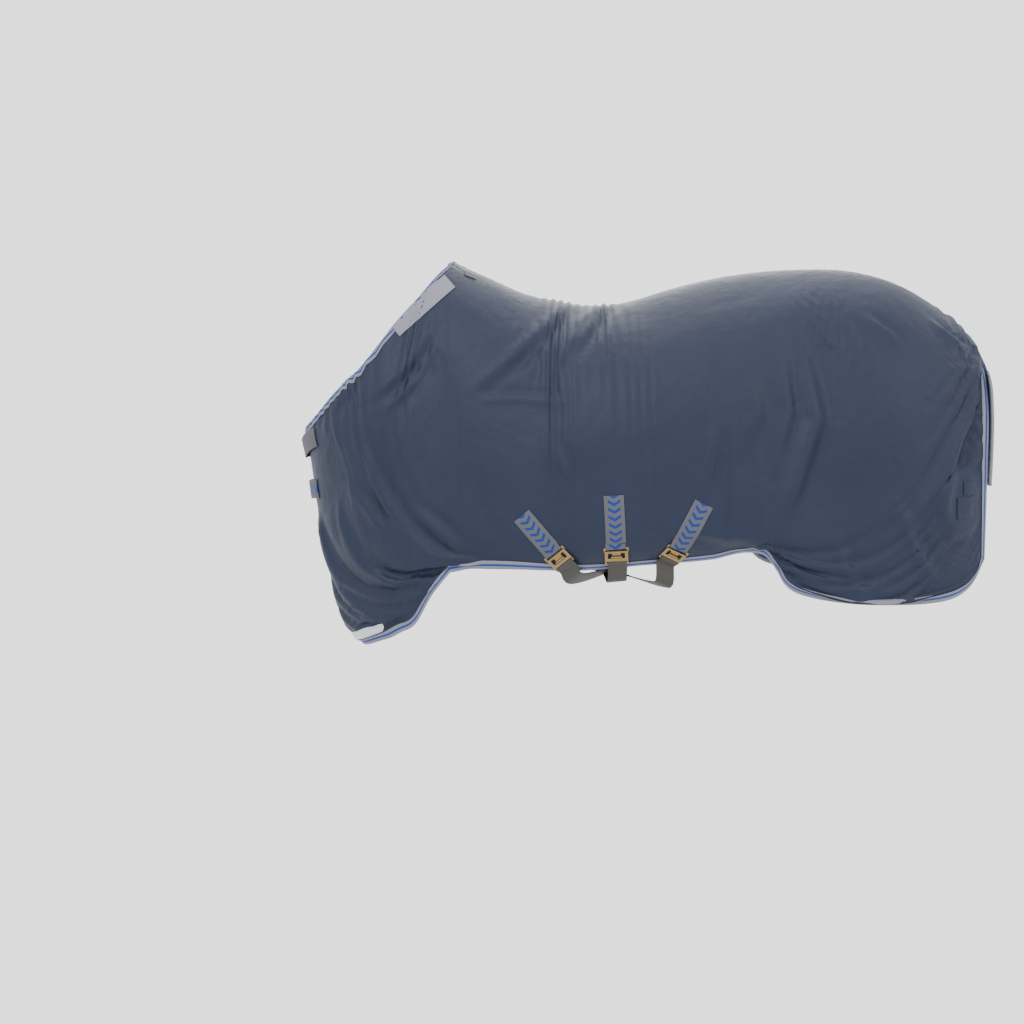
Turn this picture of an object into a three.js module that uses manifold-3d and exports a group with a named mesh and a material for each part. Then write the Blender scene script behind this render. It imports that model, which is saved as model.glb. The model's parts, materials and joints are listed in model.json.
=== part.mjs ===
// A turnout rug as it lies on a horse: millimetres, +Z up, the head towards -X, the near side at -Y.
// The origin is on the horse's back at the withers, under the lining.
import * as THREE from 'three';
import Module from 'manifold-3d';
import { mergeVertices } from 'three/addons/utils/BufferGeometryUtils.js';

const wasm = await Module();
wasm.setup();

// ---- Overall sizes ----
const bodyLength = 1360;          // from the neck column at the withers to the rear edge
const neckColumnX = -98;          // where the neckline crosses the spine
const chestReach = 374;           // from the neck column forward to the breast
const barrelHalfWidth = 335;      // the widest half width, at the barrel
const sideDrop = 811;             // from the withers down to the hem at the quarters
const frontDrop = 951;            // from the withers down to the lowest front hem
const neckDrop = 393;             // from the withers down to the neckline at the breast

// ---- Cloth ----
const shellThick = 2.4;
const liningThick = 1.6;
const layerGap = 0.4;
const sewnGap = 0.6;              // between the cloth and what is sewn to it
const chestLap = 40;              // how far each front passes the centre line
const lapLift = 12;               // how far the near front stands outside the off front
const splitGap = 0.7;             // between a front and the body of the rug

// ---- Binding ----
const bindingWidth = 22;
const bindingThick = 1.2;
const bindingGap = 0.35;
const edgeGap = 0.7;               // between the cloth's cut edge and the fold of the tape
const tapeCutGap = 0.9;            // left between the tape and the cloth where it is cut to fit
const innerLegGap = 1.2;           // the tape lies looser on the lining
const ridgeLegGap = 2;             // where the tape crosses the bend over the withers

// ---- Webbing and hardware ----
const webWidth = 50;
const webThick = 2.4;
const tabGap = 0.7;               // from a tab's end to the metal it holds
const hookFrameWidth = 62;
const hookFrameDrop = 12;
const hookFrameSlot = 5;
const hookThick = 2.4;
const hookLow = 1.9;               // the hook's underside above the cloth
const neckWidth = 22;
const headReach = 29;             // from the tab's end to the far side of the hook's head
const headThick = 3;
const headLength = 28;
const headLift = 4.4;              // the head's underside above the cloth, level with the plate
const plateWidth = 58;
const plateLength = 38;
const plateStart = 10;            // from the tab's end to the plate's first edge
const plateThick = 1.8;
const plateLevel = 5;             // the plate's underside above the cloth
const slotLength = 42;
const slotHeight = 15.5;
const slotEdge = 5;               // metal before the slot
const strapUnderPlate = 12;       // how far the strap's end lies under the plate
const strapLevel = 2;             // the strap's underside above the cloth there
const layerStep = 7;              // between crossing straps
const turnAhead = 12;             // how far below a tab its hardware takes its slope from
const labelThick = 1.6;
const hoodTabLift = 0.2;

// ---- Chest clips, leg-strap rings and tail flap ----
const clipWidth = 50;
const clipLength = 26;
const clipTongue = 16;
const clipInside = 3.5;
const clipLevel = 4;
const clipGap = 0.9;
const strapRise = 10;             // the chest strap lifts over the bound edge of the near front
const legRingPlace = [1196, -552];
const ringClear = 1;
const flapTopHalf = 90;
const flapHalf = 192;
const flapDrop = 352;
const flapBulge = 16;
const flapThick = 2.4;
const flapLegGap = 0.75;          // clears the faceted cloth without a cut
const shortestEdge = 0.03;         // a cut leaves no edge shorter than this

const sliderLength = 24;
const sliderFrame = 1.6;
const sliderGap = 0.5;
const sliderEnd = 228;            // the flat stretch of the strap that the slider moves on
const sliderRun = 110;
const strapDrop = 24;             // the first strap, under the lowest hem of the barrel
const strapClear = 9;              // how far outside the hem a strap turns under it

// ---- Outlines ----
// Each list holds pairs: a share of the way along, and a value.
const toplineZ = [[0, 46], [0.072, 4.4], [0.138, -33], [0.212, -51], [0.285, -57], [0.351, -47],
  [0.418, -23], [0.484, -1], [0.557, 16], [0.631, 26], [0.704, 29], [0.778, 19], [0.851, -11],
  [0.918, -63], [0.962, -113], [1, -168]];
const widthShare = [[0, 0.78], [0.11, 0.866], [0.22, 0.95], [0.366, 1], [0.51, 0.985], [0.66, 0.93],
  [0.77, 0.915], [0.844, 0.89], [0.903, 0.83], [0.954, 0.715], [1, 0.565]];
const hemShare = [[0, 0.906], [0.043, 0.892], [0.1, 0.892], [0.22, 0.897], [0.366, 0.879],
  [0.484, 0.862], [0.55, 0.838], [0.577, 0.846], [0.598, 0.885], [0.617, 0.938], [0.653, 0.97],
  [0.734, 0.994], [0.822, 1], [0.903, 0.994], [0.947, 0.975], [0.978, 0.935], [1, 0.873]];
const hemWidthShare = [[0, 0.73], [0.1, 0.782], [0.5, 0.782], [0.55, 0.82], [0.62, 0.866],
  [0.734, 0.866], [0.844, 0.835], [0.918, 0.78], [0.962, 0.69], [1, 0.56]];
const widestZ = [[0, -410], [0.33, -450], [0.66, -390], [1, -390]];
const tuckPower = [[0, 2.5], [0.14, 5], [0.484, 5], [0.62, 2.5], [1, 2]];
// For the fronts, by the turn about the shoulder: 0 at the neck column, 1 at the centre line.
const neckShare = [[0, 0], [0.19, 0.078], [0.318, 0.214], [0.51, 0.613], [0.668, 0.784],
  [0.828, 0.932], [1, 1]];
const frontHemShare = [[0, 0], [0.098, 0.27], [0.204, 0.625], [0.318, 0.755], [0.433, 0.847],
  [0.7, 0.954], [1, 1]];
// The breast line in side view: height against share of the chest's reach.
const breastShare = [[-990, 0.5], [-953, 0.607], [-893, 0.738], [-763, 0.826], [-613, 0.914],
  [-463, 0.968], [-393, 1], [-313, 0.955], [-233, 0.861], [-113, 0.647], [-43, 0.439], [17, 0.273],
  [46, 0.139]];

// Smooth curve through a list of pairs.
function curve(pairs, at) {
  const last = pairs.length - 1;
  if (at <= pairs[0][0]) {
    return pairs[0][1];
  }
  if (at >= pairs[last][0]) {
    return pairs[last][1];
  }
  let i = 0;
  while (at > pairs[i + 1][0]) {
    i += 1;
  }
  const slope = (a, b) => (pairs[b][1] - pairs[a][1]) / (pairs[b][0] - pairs[a][0]);
  const tangent = (k) => (k === 0 ? slope(0, 1) : k === last ? slope(last - 1, last)
    : slope(k - 1, k) * slope(k, k + 1) <= 0 ? 0 : slope(k - 1, k + 1));
  const span = pairs[i + 1][0] - pairs[i][0];
  const s = (at - pairs[i][0]) / span;
  const [y0, y1] = [pairs[i][1], pairs[i + 1][1]];
  return y0 * (1 + 2 * s) * (1 - s) ** 2 + y1 * s * s * (3 - 2 * s)
    + span * (tangent(i) * s * (1 - s) ** 2 - tangent(i + 1) * s * s * (1 - s));
}

const lerp = THREE.MathUtils.lerp;
const vec = (x, y, z) => new THREE.Vector3(x, y, z);
const fractionAlong = (x) => (x - neckColumnX) / bodyLength;
const alongX = (fraction) => neckColumnX + fraction * bodyLength;

// The cross-section at a share of the body's length.
function section(f) {
  return {
    top: curve(toplineZ, f),
    wideZ: curve(widestZ, f),
    wide: curve(widthShare, f) * barrelHalfWidth,
    hemZ: -curve(hemShare, f) * sideDrop,
    hemWide: curve(hemWidthShare, f) * barrelHalfWidth,
    tuck: curve(tuckPower, f),
  };
}

// Half width of a section at a height.
function halfWidth(sec, z) {
  if (z >= sec.wideZ) {
    const rise = Math.min(1, (z - sec.wideZ) / (sec.top - sec.wideZ));
    return sec.wide * Math.sqrt(1 - rise * rise);
  }
  const s = (sec.wideZ - z) / (sec.wideZ - sec.hemZ);
  return sec.wide - (sec.wide - sec.hemWide) * s ** sec.tuck;
}

// A place on the outer face, near side. v runs from the spine or neckline, 0, to the hem, 1.
// u is the share of the body's length, or below 0 the turn towards the breast, -1 at the centre.
const wideRow = 0.5;
function outerPoint(u, v, turnTop = -u, turnHem = -u) {
  if (u >= 0) {
    const sec = section(u);
    if (v <= wideRow) {
      const a = (v / wideRow) * Math.PI / 2;
      return vec(alongX(u), -sec.wide * Math.sin(a), sec.wideZ + (sec.top - sec.wideZ) * Math.cos(a));
    }
    const z = lerp(sec.wideZ, sec.hemZ, (v - wideRow) / (1 - wideRow));
    return vec(alongX(u), -halfWidth(sec, z), z);
  }
  const sec = section(0);
  const turn = lerp(turnTop, turnHem, v);
  const cap = (t) => Math.min(1, t);
  const top = lerp(sec.top, -neckDrop, curve(neckShare, cap(turnTop)));
  const hem = lerp(sec.hemZ, -frontDrop, curve(frontHemShare, cap(turnHem)));
  const middle = lerp(sec.wideZ, (top + hem) / 2, cap(turn));
  const rise = Math.cos((Math.min(v, wideRow) / wideRow) * Math.PI / 2);
  const z = v <= wideRow ? middle + (top - middle) * rise
    : lerp(middle, hem, (v - wideRow) / (1 - wideRow));
  const reach = chestReach * curve(breastShare, z);
  const angle = turn * Math.PI / 2;
  return vec(neckColumnX - reach * Math.sin(angle), -halfWidth(sec, z) * Math.cos(angle), z);
}

// Columns of the fronts: turn at the neckline and turn at the hem.
const frontColumns = [[0.14, 0.045], [0.27, 0.09], [0.38, 0.128], [0.51, 0.166], [0.586, 0.255],
  [0.668, 0.37], [0.75, 0.51], [0.84, 0.668], [0.923, 0.84], [1, 1]];
const splitColumn = 4;
const lapTurn = 1 + Math.asin(chestLap / (barrelHalfWidth * widthShare[0][1])) * 2 / Math.PI;
const bodyStations = [0, 0.065, 0.138, 0.212, 0.285, 0.366, 0.447, 0.52, 0.577, 0.617, 0.66,
  0.745, 0.84, 0.915, 0.962, 1];
const rows = [0, 0.14, 0.28, 0.4, 0.5, 0.68, 0.84, 0.93, 1];

// A column by its number: 0 and up along the body, below 0 towards the breast.
function columnTurns(c) {
  const k = -c - 1;
  if (k >= frontColumns.length - 1) {
    const extra = k - (frontColumns.length - 1);
    const turn = 1 + extra * (lapTurn - 1);
    return [turn, turn];
  }
  const low = Math.floor(k);
  const before = low < 0 ? [0, 0] : frontColumns[low];
  const after = frontColumns[low + 1];
  return [lerp(before[0], after[0], k - low), lerp(before[1], after[1], k - low)];
}

function columnPoint(c, v) {
  if (c >= 0) {
    return outerPoint(bodyStations[c], v);
  }
  const [top, hem] = columnTurns(c);
  return outerPoint(-1, v, top, hem);
}

// Outward normal of the near side, by small steps.
const step = 0.002;
const columnStep = 0.02;
function columnNormal(c, v) {
  const down = columnPoint(c, Math.min(1, v + step)).sub(columnPoint(c, Math.max(0, v - step)));
  if (c < 0) {
    const ahead = columnPoint(c - columnStep, v);
    const behind = columnPoint(c, v);
    return ahead.sub(behind).cross(down).normalize();
  }
  const u = bodyStations[c];
  const along = outerPoint(Math.max(0, u - step), v).sub(outerPoint(Math.min(1, u + step), v));
  if (v === 0) {
    return vec(along.z, 0, -along.x).normalize();
  }
  return along.cross(down).normalize();
}

const mirror = (p) => vec(p.x, -p.y, p.z);

// The near front stands outside the off front where the two lap.
function lapOffset(c, side) {
  if (side > 0 || c >= 0) {
    return 0;
  }
  const turn = columnTurns(c)[0];
  return lapLift * THREE.MathUtils.smoothstep(turn, 0.72, 0.98);
}

// A point on the cloth: depth below the outer face, on side -1 (near) or 1 (off).
function clothPoint(c, v, depth, side) {
  const p = columnPoint(c, v).addScaledVector(columnNormal(c, v), lapOffset(c, side) - depth);
  return side < 0 ? p : mirror(p);
}

// ---- Solids ----
function mesh(name, positions, triangles, material) {
  const geometry = new THREE.BufferGeometry();
  geometry.setAttribute('position', new THREE.Float32BufferAttribute(positions.flatMap((p) => [p.x, p.y, p.z]), 3));
  geometry.setIndex(triangles);
  const object = new THREE.Mesh(geometry, material);
  object.name = name;
  return object;
}

// A closed skin from grids of [outer, inner] pairs; grids that share points are one skin.
function skin(name, patches, material) {
  const [outer, inner, found] = [[], [], new Map()];
  const number = ([out, under]) => {
    const key = [out.x, out.y, out.z].map((n) => Math.round(n * 100)).join();
    if (!found.has(key)) {
      found.set(key, outer.length);
      outer.push(out);
      inner.push(under);
    }
    return found.get(key);
  };
  const quads = [];
  patches.forEach(({ grid, side }) => {
    for (let c = 0; c + 1 < grid.length; c += 1) {
      for (let r = 0; r + 1 < grid[c].length; r += 1) {
        const quad = [grid[c][r], grid[c][r + 1], grid[c + 1][r + 1], grid[c + 1][r]].map(number);
        quads.push(side < 0 ? quad : quad.reverse());
      }
    }
  });
  const count = outer.length;
  const triangles = [];
  const edges = new Map();
  quads.forEach(([a, b, c, d]) => {
    triangles.push(a, b, c, a, c, d);
    triangles.push(...[a, c, b, a, d, c].map((k) => k + count));
    [[a, b], [b, c], [c, d], [d, a]].forEach(([from, to]) => edges.set(`${from},${to}`, [from, to]));
  });
  edges.forEach(([a, b]) => {
    if (!edges.has(`${b},${a}`)) {
      triangles.push(b, a, a + count, b, a + count, b + count);
    }
  });
  return mesh(name, [...outer, ...inner], triangles, material);
}

// A bar through loops of points, each loop with the same count; caps lists the end's quads. Each quad is
// split along its shorter diagonal, so that a twisted bar's two faces stay apart.
function bar(name, loops, caps, material, closed = false) {
  const count = loops[0].length;
  const triangles = [];
  const points = loops.flat();
  const quad = (a, b, c, d) => (points[a].distanceTo(points[c]) <= points[b].distanceTo(points[d])
    ? triangles.push(a, b, c, a, c, d) : triangles.push(a, b, d, b, c, d));
  const turns = closed ? loops.length : loops.length - 1;
  for (let i = 0; i < turns; i += 1) {
    const [here, next] = [i * count, ((i + 1) % loops.length) * count];
    for (let k = 0; k < count; k += 1) {
      const m = (k + 1) % count;
      quad(here + k, here + m, next + m, next + k);
    }
  }
  if (!closed) {
    const end = (loops.length - 1) * count;
    caps.forEach(([a, b, c, d]) => {
      quad(d, c, b, a);
      quad(end + a, end + b, end + c, end + d);
    });
  }
  const made = mesh(name, points, triangles, material);
  return solidVolume(made.geometry) < 0 ? turnedOver(made) : made;
}

function solidVolume(geometry) {
  const [position, index] = [geometry.attributes.position, geometry.index.array];
  const point = (k) => new THREE.Vector3().fromBufferAttribute(position, index[k]);
  let volume = 0;
  for (let i = 0; i < index.length; i += 3) {
    volume += point(i).dot(point(i + 1).cross(point(i + 2)));
  }
  return volume / 6;
}

function turnedOver(object) {
  const index = object.geometry.index.array;
  for (let i = 0; i < index.length; i += 3) {
    [index[i], index[i + 1]] = [index[i + 1], index[i]];
  }
  return object;
}

// ---- Cuts and joins ----
function solid(object) {
  object.updateMatrixWorld(true);
  const geometry = object.geometry.clone().applyMatrix4(object.matrixWorld);
  geometry.deleteAttribute('normal');
  geometry.deleteAttribute('uv');
  const merged = mergeVertices(geometry, 1e-4);
  return new wasm.Manifold(new wasm.Mesh({
    numProp: 3,
    vertProperties: new Float32Array(merged.attributes.position.array),
    triVerts: new Uint32Array(merged.index.array),
  }));
}

function fromSolid(name, manifold, material) {
  const pieces = manifold.simplify(shortestEdge).decompose().sort((a, b) => b.volume() - a.volume());
  const { vertProperties, triVerts } = pieces[0].getMesh();
  const geometry = new THREE.BufferGeometry();
  geometry.setAttribute('position', new THREE.BufferAttribute(vertProperties, 3));
  geometry.setIndex(new THREE.BufferAttribute(triVerts, 1));
  const object = new THREE.Mesh(geometry, material);
  object.name = name;
  return object;
}

const cut = (name, object, cutters, material) => fromSolid(name,
  cutters.reduce((whole, cutter) => whole.subtract(solid(cutter)), solid(object)), material);
const join = (name, objects, material) => fromSolid(name,
  objects.slice(1).reduce((whole, object) => whole.add(solid(object)), solid(objects[0])), material);

// ---- Materials ----
const finish = (color, roughness, metalness = 0) => new THREE.MeshStandardMaterial({ color, roughness, metalness });
const navy = () => finish(0x3c4b69, 0.6);
const liningCloth = () => finish(0x23293a, 0.8);
const tape = () => finish(0xafafb4, 0.75);
const webbing = () => finish(0x8c8c91, 0.8);
const brass = () => finish(0xaa916e, 0.35, 0.9);
const reflective = () => finish(0xbec6c8, 0.4);

// ---- Cloth layers ----
const range = (from, to) => Array.from({ length: Math.abs(to - from) + 1 }, (_, k) => from + k * Math.sign(to - from));
const splitShare = splitGap / columnPoint(-splitColumn, 0.5).distanceTo(columnPoint(-splitColumn - 1, 0.5));
const frontEdge = -frontColumns.length - 1;
const lastStation = bodyStations.length - 1;
const bodyColumns = range(-splitColumn, lastStation);
const frontNumbers = [...range(frontEdge, -splitColumn - 1), -splitColumn - splitShare];
const liningDepth = shellThick + layerGap;
const clothDepth = liningDepth + liningThick;

const layerGrid = (columns, side, top, bottom) => columns.map((c) => rows.map((v) => [
  clothPoint(c, v, top, side), clothPoint(c, v, bottom, side)]));
const layer = (name, columns, sides, top, bottom, material) => skin(name,
  sides.map((side) => ({ side, grid: layerGrid(columns, side, top, bottom) })), material);

const rug = new THREE.Group();
rug.add(layer('outer_shell', bodyColumns, [-1, 1], 0, shellThick, navy()));
rug.add(layer('lining', bodyColumns, [-1, 1], liningDepth, clothDepth, liningCloth()));
[['near', -1], ['off', 1]].forEach(([label, side]) => {
  rug.add(layer(`${label}_front_shell`, frontNumbers, [side], 0, shellThick, navy()));
  rug.add(layer(`${label}_front_lining`, frontNumbers, [side], liningDepth, clothDepth, liningCloth()));
});

// ---- Edge binding: tape folded over the edge, outside and inside ----
function tapeLoop(outer, inner, into, legGap = bindingGap) {
  const out = outer.clone().sub(inner).normalize();
  into.addScaledVector(out, -into.dot(out));
  const place = (base, lift, along) => base.clone().addScaledVector(out, lift).addScaledVector(into, along);
  const edge = -edgeGap - bindingThick;
  const underGap = legGap + innerLegGap - bindingGap;
  const far = legGap + bindingThick;
  const under = -underGap - bindingThick;
  return [
    place(outer, far, bindingWidth), place(outer, far, edge), place(inner, under, edge),
    place(inner, under, bindingWidth), place(inner, -underGap, bindingWidth),
    place(inner, -underGap, -edgeGap), place(outer, legGap, -edgeGap),
    place(outer, legGap, bindingWidth),
  ];
}

// One place along the edge: column, row, side, and the columns and rows next to it, inward.
function bindingLoop({ c, v, side, inward, legGap }) {
  const outer = clothPoint(c, v, 0, side);
  const into = vec(0, 0, 0);
  inward.forEach(([c2, v2]) => into.add(clothPoint(c2, v2, 0, side).sub(outer).normalize()));
  return tapeLoop(outer, clothPoint(c, v, clothDepth, side), into, legGap);
}
const bindingCaps = [[0, 1, 6, 7], [1, 2, 5, 6], [2, 3, 4, 5]];

// The tape is cut to the cloth that it holds, with the same small gap all over.
const clothCutter = (columns, sides) => layer('cutter', columns, sides, -tapeCutGap, clothDepth + tapeCutGap, null);
const binding = (name, stations, columns, sides) => {
  const tube = bar(name, stations.map(bindingLoop), bindingCaps, null);
  return cut(name, tube, [clothCutter(columns, sides)], tape());
};
const nextRow = rows[1];
const lastRow = rows[rows.length - 2];

const neckStation = (side) => (c) => ({ c, v: 0, side, inward: [c === 0 ? [1, 0] : [c, nextRow]],
  legGap: c > -splitColumn ? ridgeLegGap : bindingGap });
const hemStation = (side) => (c) => ({ c, v: 1, side, inward: [[c, lastRow]] });
const splitRange = range(-splitColumn, 0);
rug.add(binding('neck_binding', [
  ...splitRange.map(neckStation(-1)), ...range(-1, -splitColumn).map(neckStation(1))], bodyColumns, [-1, 1]));
const hemColumns = range(-splitColumn, lastStation - 1);
const rearStation = (side) => (v) => ({
  c: lastStation, v, side, inward: v === 1 ? [[lastStation - 1, 1], [lastStation, lastRow]] : [[lastStation - 1, v]] });
const rearRows = [...rows].reverse();
rug.add(binding('hem_binding', [
  ...hemColumns.map(hemStation(-1)), ...rearRows.map(rearStation(-1)),
  ...rows.slice(1).map(rearStation(1)), ...[...hemColumns].reverse().map(hemStation(1))], bodyColumns, [-1, 1]));
const frontRun = [...range(-splitColumn - 1, frontEdge + 1)];
[['near', -1], ['off', 1]].forEach(([label, side]) => {
  const first = -splitColumn - splitShare;
  const corner = (v, v2) => ({ c: frontEdge, v, side, inward: [[frontEdge + 1, v], [frontEdge, v2]] });
  rug.add(binding(`${label}_front_binding`, [
    { c: first, v: 0, side, inward: [[first, nextRow]] },
    ...frontRun.map(neckStation(side)),
    corner(0, nextRow),
    ...rows.slice(1, -1).map((v) => ({ c: frontEdge, v, side, inward: [[frontEdge + 1, v]] })),
    corner(1, lastRow),
    ...[...frontRun].reverse().map(hemStation(side)),
    { c: first, v: 1, side, inward: [[first, lastRow]] }], frontNumbers, [side]));
});

// ---- Pieces sewn to the fronts, laid on the cloth's own facets ----
// The column and row grids are followed, so v and c may lie between them.
function facetPoint(c, v, lift, side) {
  const c0 = Math.floor(c);
  let r = 0;
  while (r < rows.length - 2 && v > rows[r + 1]) {
    r += 1;
  }
  const s = (v - rows[r]) / (rows[r + 1] - rows[r]);
  const corner = (column, row) => clothPoint(column, row, -lift, side);
  const behind = corner(c0, rows[r]).lerp(corner(c0, rows[r + 1]), s);
  return behind.lerp(corner(c0 + 1, rows[r]).lerp(corner(c0 + 1, rows[r + 1]), s), c - c0);
}

// The row a length down a column from the neckline, or up from the hem.
function rowAt(c, length, fromHem, side) {
  const pieces = 400;
  let walked = 0;
  for (let k = 1; k <= pieces; k += 1) {
    const v = fromHem ? 1 - k / pieces : k / pieces;
    const before = fromHem ? v + 1 / pieces : v - 1 / pieces;
    walked += facetPoint(c, v, 0, side).distanceTo(facetPoint(c, before, 0, side));
    if (walked >= length) {
      return v;
    }
  }
  return fromHem ? 0 : 1;
}

// Sewn pieces are cut to the facets that they lie on.
const bodyCutter = layer('cutter', bodyColumns, [-1, 1], -bindingGap, clothDepth + bindingGap, null);
const frontCutters = [-1, 1].map((side) => layer('cutter', frontNumbers, [side], -bindingGap, clothDepth, null));
const cutToCloth = (object, cutters) => cut(object.name, object, cutters, object.material);

// A patch over columns and a band of rows, following the cloth.
function patch(name, columns, bands, lift, thick, side, material) {
  const grid = columns.map((c) => bands.map((band) => {
    const v = band(c);
    return [facetPoint(c, v, lift + thick, side), facetPoint(c, v, lift, side)];
  }));
  return cutToCloth(skin(name, [{ grid, side }], material), [bodyCutter, ...frontCutters]);
}
const spread = (from, to, count) => Array.from({ length: count }, (_, k) => lerp(from, to, k / (count - 1)));

rug.add(patch('neck_label', spread(-3.3, -0.4, 8), [26, 41, 56, 72].map((d) => (c) => rowAt(c, d, false, -1)),
  sewnGap, labelThick, -1, tape()));
[['near', -1], ['off', 1]].forEach(([label, side]) => {
  rug.add(patch(`hood_tab_${label}`, spread(0.34, 0.66, 3), [58, 72, 86].map((d) => (c) => rowAt(c, d, false, side)),
    hoodTabLift, labelThick, side, webbing()));
  rug.add(patch(`${label}_reflective_strip`, spread(-6.4, -9.2, 6).reverse(),
    [50, 38, 26].map((d) => (c) => rowAt(c, d, true, side)), sewnGap, labelThick, side, reflective()));
});

// ---- Frames and blocks for hardware: e along the strap, n out of the cloth, w across ----
function block(frame, e, n, w) {
  const geometry = new THREE.BoxGeometry(e[1] - e[0], n[1] - n[0], w[1] - w[0]);
  geometry.translate((e[0] + e[1]) / 2, (n[0] + n[1]) / 2, (w[0] + w[1]) / 2);
  geometry.applyMatrix4(new THREE.Matrix4().makeBasis(frame.e, frame.n, frame.w).setPosition(frame.origin));
  return new THREE.Mesh(geometry, null);
}
const half = (width) => [-width / 2, width / 2];
function makeFrame(origin, along, outward) {
  const e = along.clone().normalize();
  const n = outward.clone().addScaledVector(e, -outward.dot(e)).normalize();
  return { origin, e, n, w: e.clone().cross(n) };
}
const inFrame = (frame, e, n, w = 0) => frame.origin.clone().addScaledVector(frame.e, e)
  .addScaledVector(frame.n, n).addScaledVector(frame.w, w);

// A flat strap through points, with the outward direction at each; the points lie on its inner face.
function ribbon(name, points, normals, width, thick, material) {
  const loops = points.map((p, i) => {
    const before = points[Math.max(0, i - 1)];
    const after = points[Math.min(points.length - 1, i + 1)];
    const frame = makeFrame(p, after.clone().sub(before), normals[i]);
    return [inFrame(frame, 0, 0, -width / 2), inFrame(frame, 0, 0, width / 2),
      inFrame(frame, 0, thick, width / 2), inFrame(frame, 0, thick, -width / 2)];
  });
  return bar(name, loops, [[0, 1, 2, 3]], material);
}

// ---- Side of the body by length and height ----
function sideRow(x, z, side) {
  let i = 0;
  while (i < lastStation - 1 && x > alongX(bodyStations[i + 1])) {
    i += 1;
  }
  const [x0, x1] = [alongX(bodyStations[i]), alongX(bodyStations[i + 1])];
  const c = i + (x - x0) / (x1 - x0);
  let [low, high] = [0, 1];
  for (let k = 0; k < 24; k += 1) {
    const middle = (low + high) / 2;
    if (facetPoint(c, middle, 0, side).z > z) {
      low = middle;
    } else {
      high = middle;
    }
  }
  return [c, low];
}
const sidePoint = (x, z, lift, side) => facetPoint(...sideRow(x, z, side), lift, side);

// A webbing tab from a top place to a bottom place, each [x, z], on the cloth.
function sideTab(name, top, bottom, width, lift, thick, side, material) {
  const length = Math.hypot(bottom[0] - top[0], bottom[1] - top[1]);
  const across = [-(bottom[1] - top[1]) / length, (bottom[0] - top[0]) / length];
  const grid = spread(-width / 2, width / 2, 4).map((t) => spread(0, 1, 6).map((s) => {
    const [x, z] = [0, 1].map((k) => lerp(top[k], bottom[k], s) + across[k] * t);
    return [sidePoint(x, z, lift + thick, side), sidePoint(x, z, lift, side)];
  }));
  return cutToCloth(skin(name, [{ grid, side }], material), [bodyCutter]);
}

// The frame at a tab's end: w along the end's edge, e on down the cloth.
function tabFrame(top, bottom, side) {
  const length = Math.hypot(bottom[0] - top[0], bottom[1] - top[1]);
  const unit = [0, 1].map((k) => (bottom[k] - top[k]) / length);
  const place = (down, across) => sidePoint(bottom[0] + unit[0] * down - unit[1] * across,
    bottom[1] + unit[1] * down + unit[0] * across, 0, side);
  const origin = place(0, 0);
  const edge = place(0, webWidth / 2).sub(place(0, -webWidth / 2));
  const along = place(turnAhead, 0).sub(origin).addScaledVector(edge, -along0(place, origin, edge));
  const outward = along.clone().cross(edge);
  return makeFrame(origin, along, outward.multiplyScalar(Math.sign(outward.y * side)));
}
function along0(place, origin, edge) {
  return place(turnAhead, 0).sub(origin).dot(edge) / edge.lengthSq();
}

// ---- Surcingles: tab, T-hook, slotted plate, belly strap, slider and off-side anchor tab ----
const surcingles = [
  { label: 'front', top: [82, -586], bottom: [160, -676], offTop: [596, -540], offBottom: [556, -648], level: 0 },
  { label: 'middle', top: [308, -532], bottom: [316, -662], offTop: [316, -532], offBottom: [316, -662], level: 1 },
  { label: 'rear', top: [530, -552], bottom: [473, -665], offTop: [124, -552], offBottom: [168, -662], level: 2 },
];
const hemLow = Math.min(...spread(0.1, 0.484, 20).map((f) => section(f).hemZ));
const hemTurn = hemWidthShare[1][1] * barrelHalfWidth + strapClear;

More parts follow.
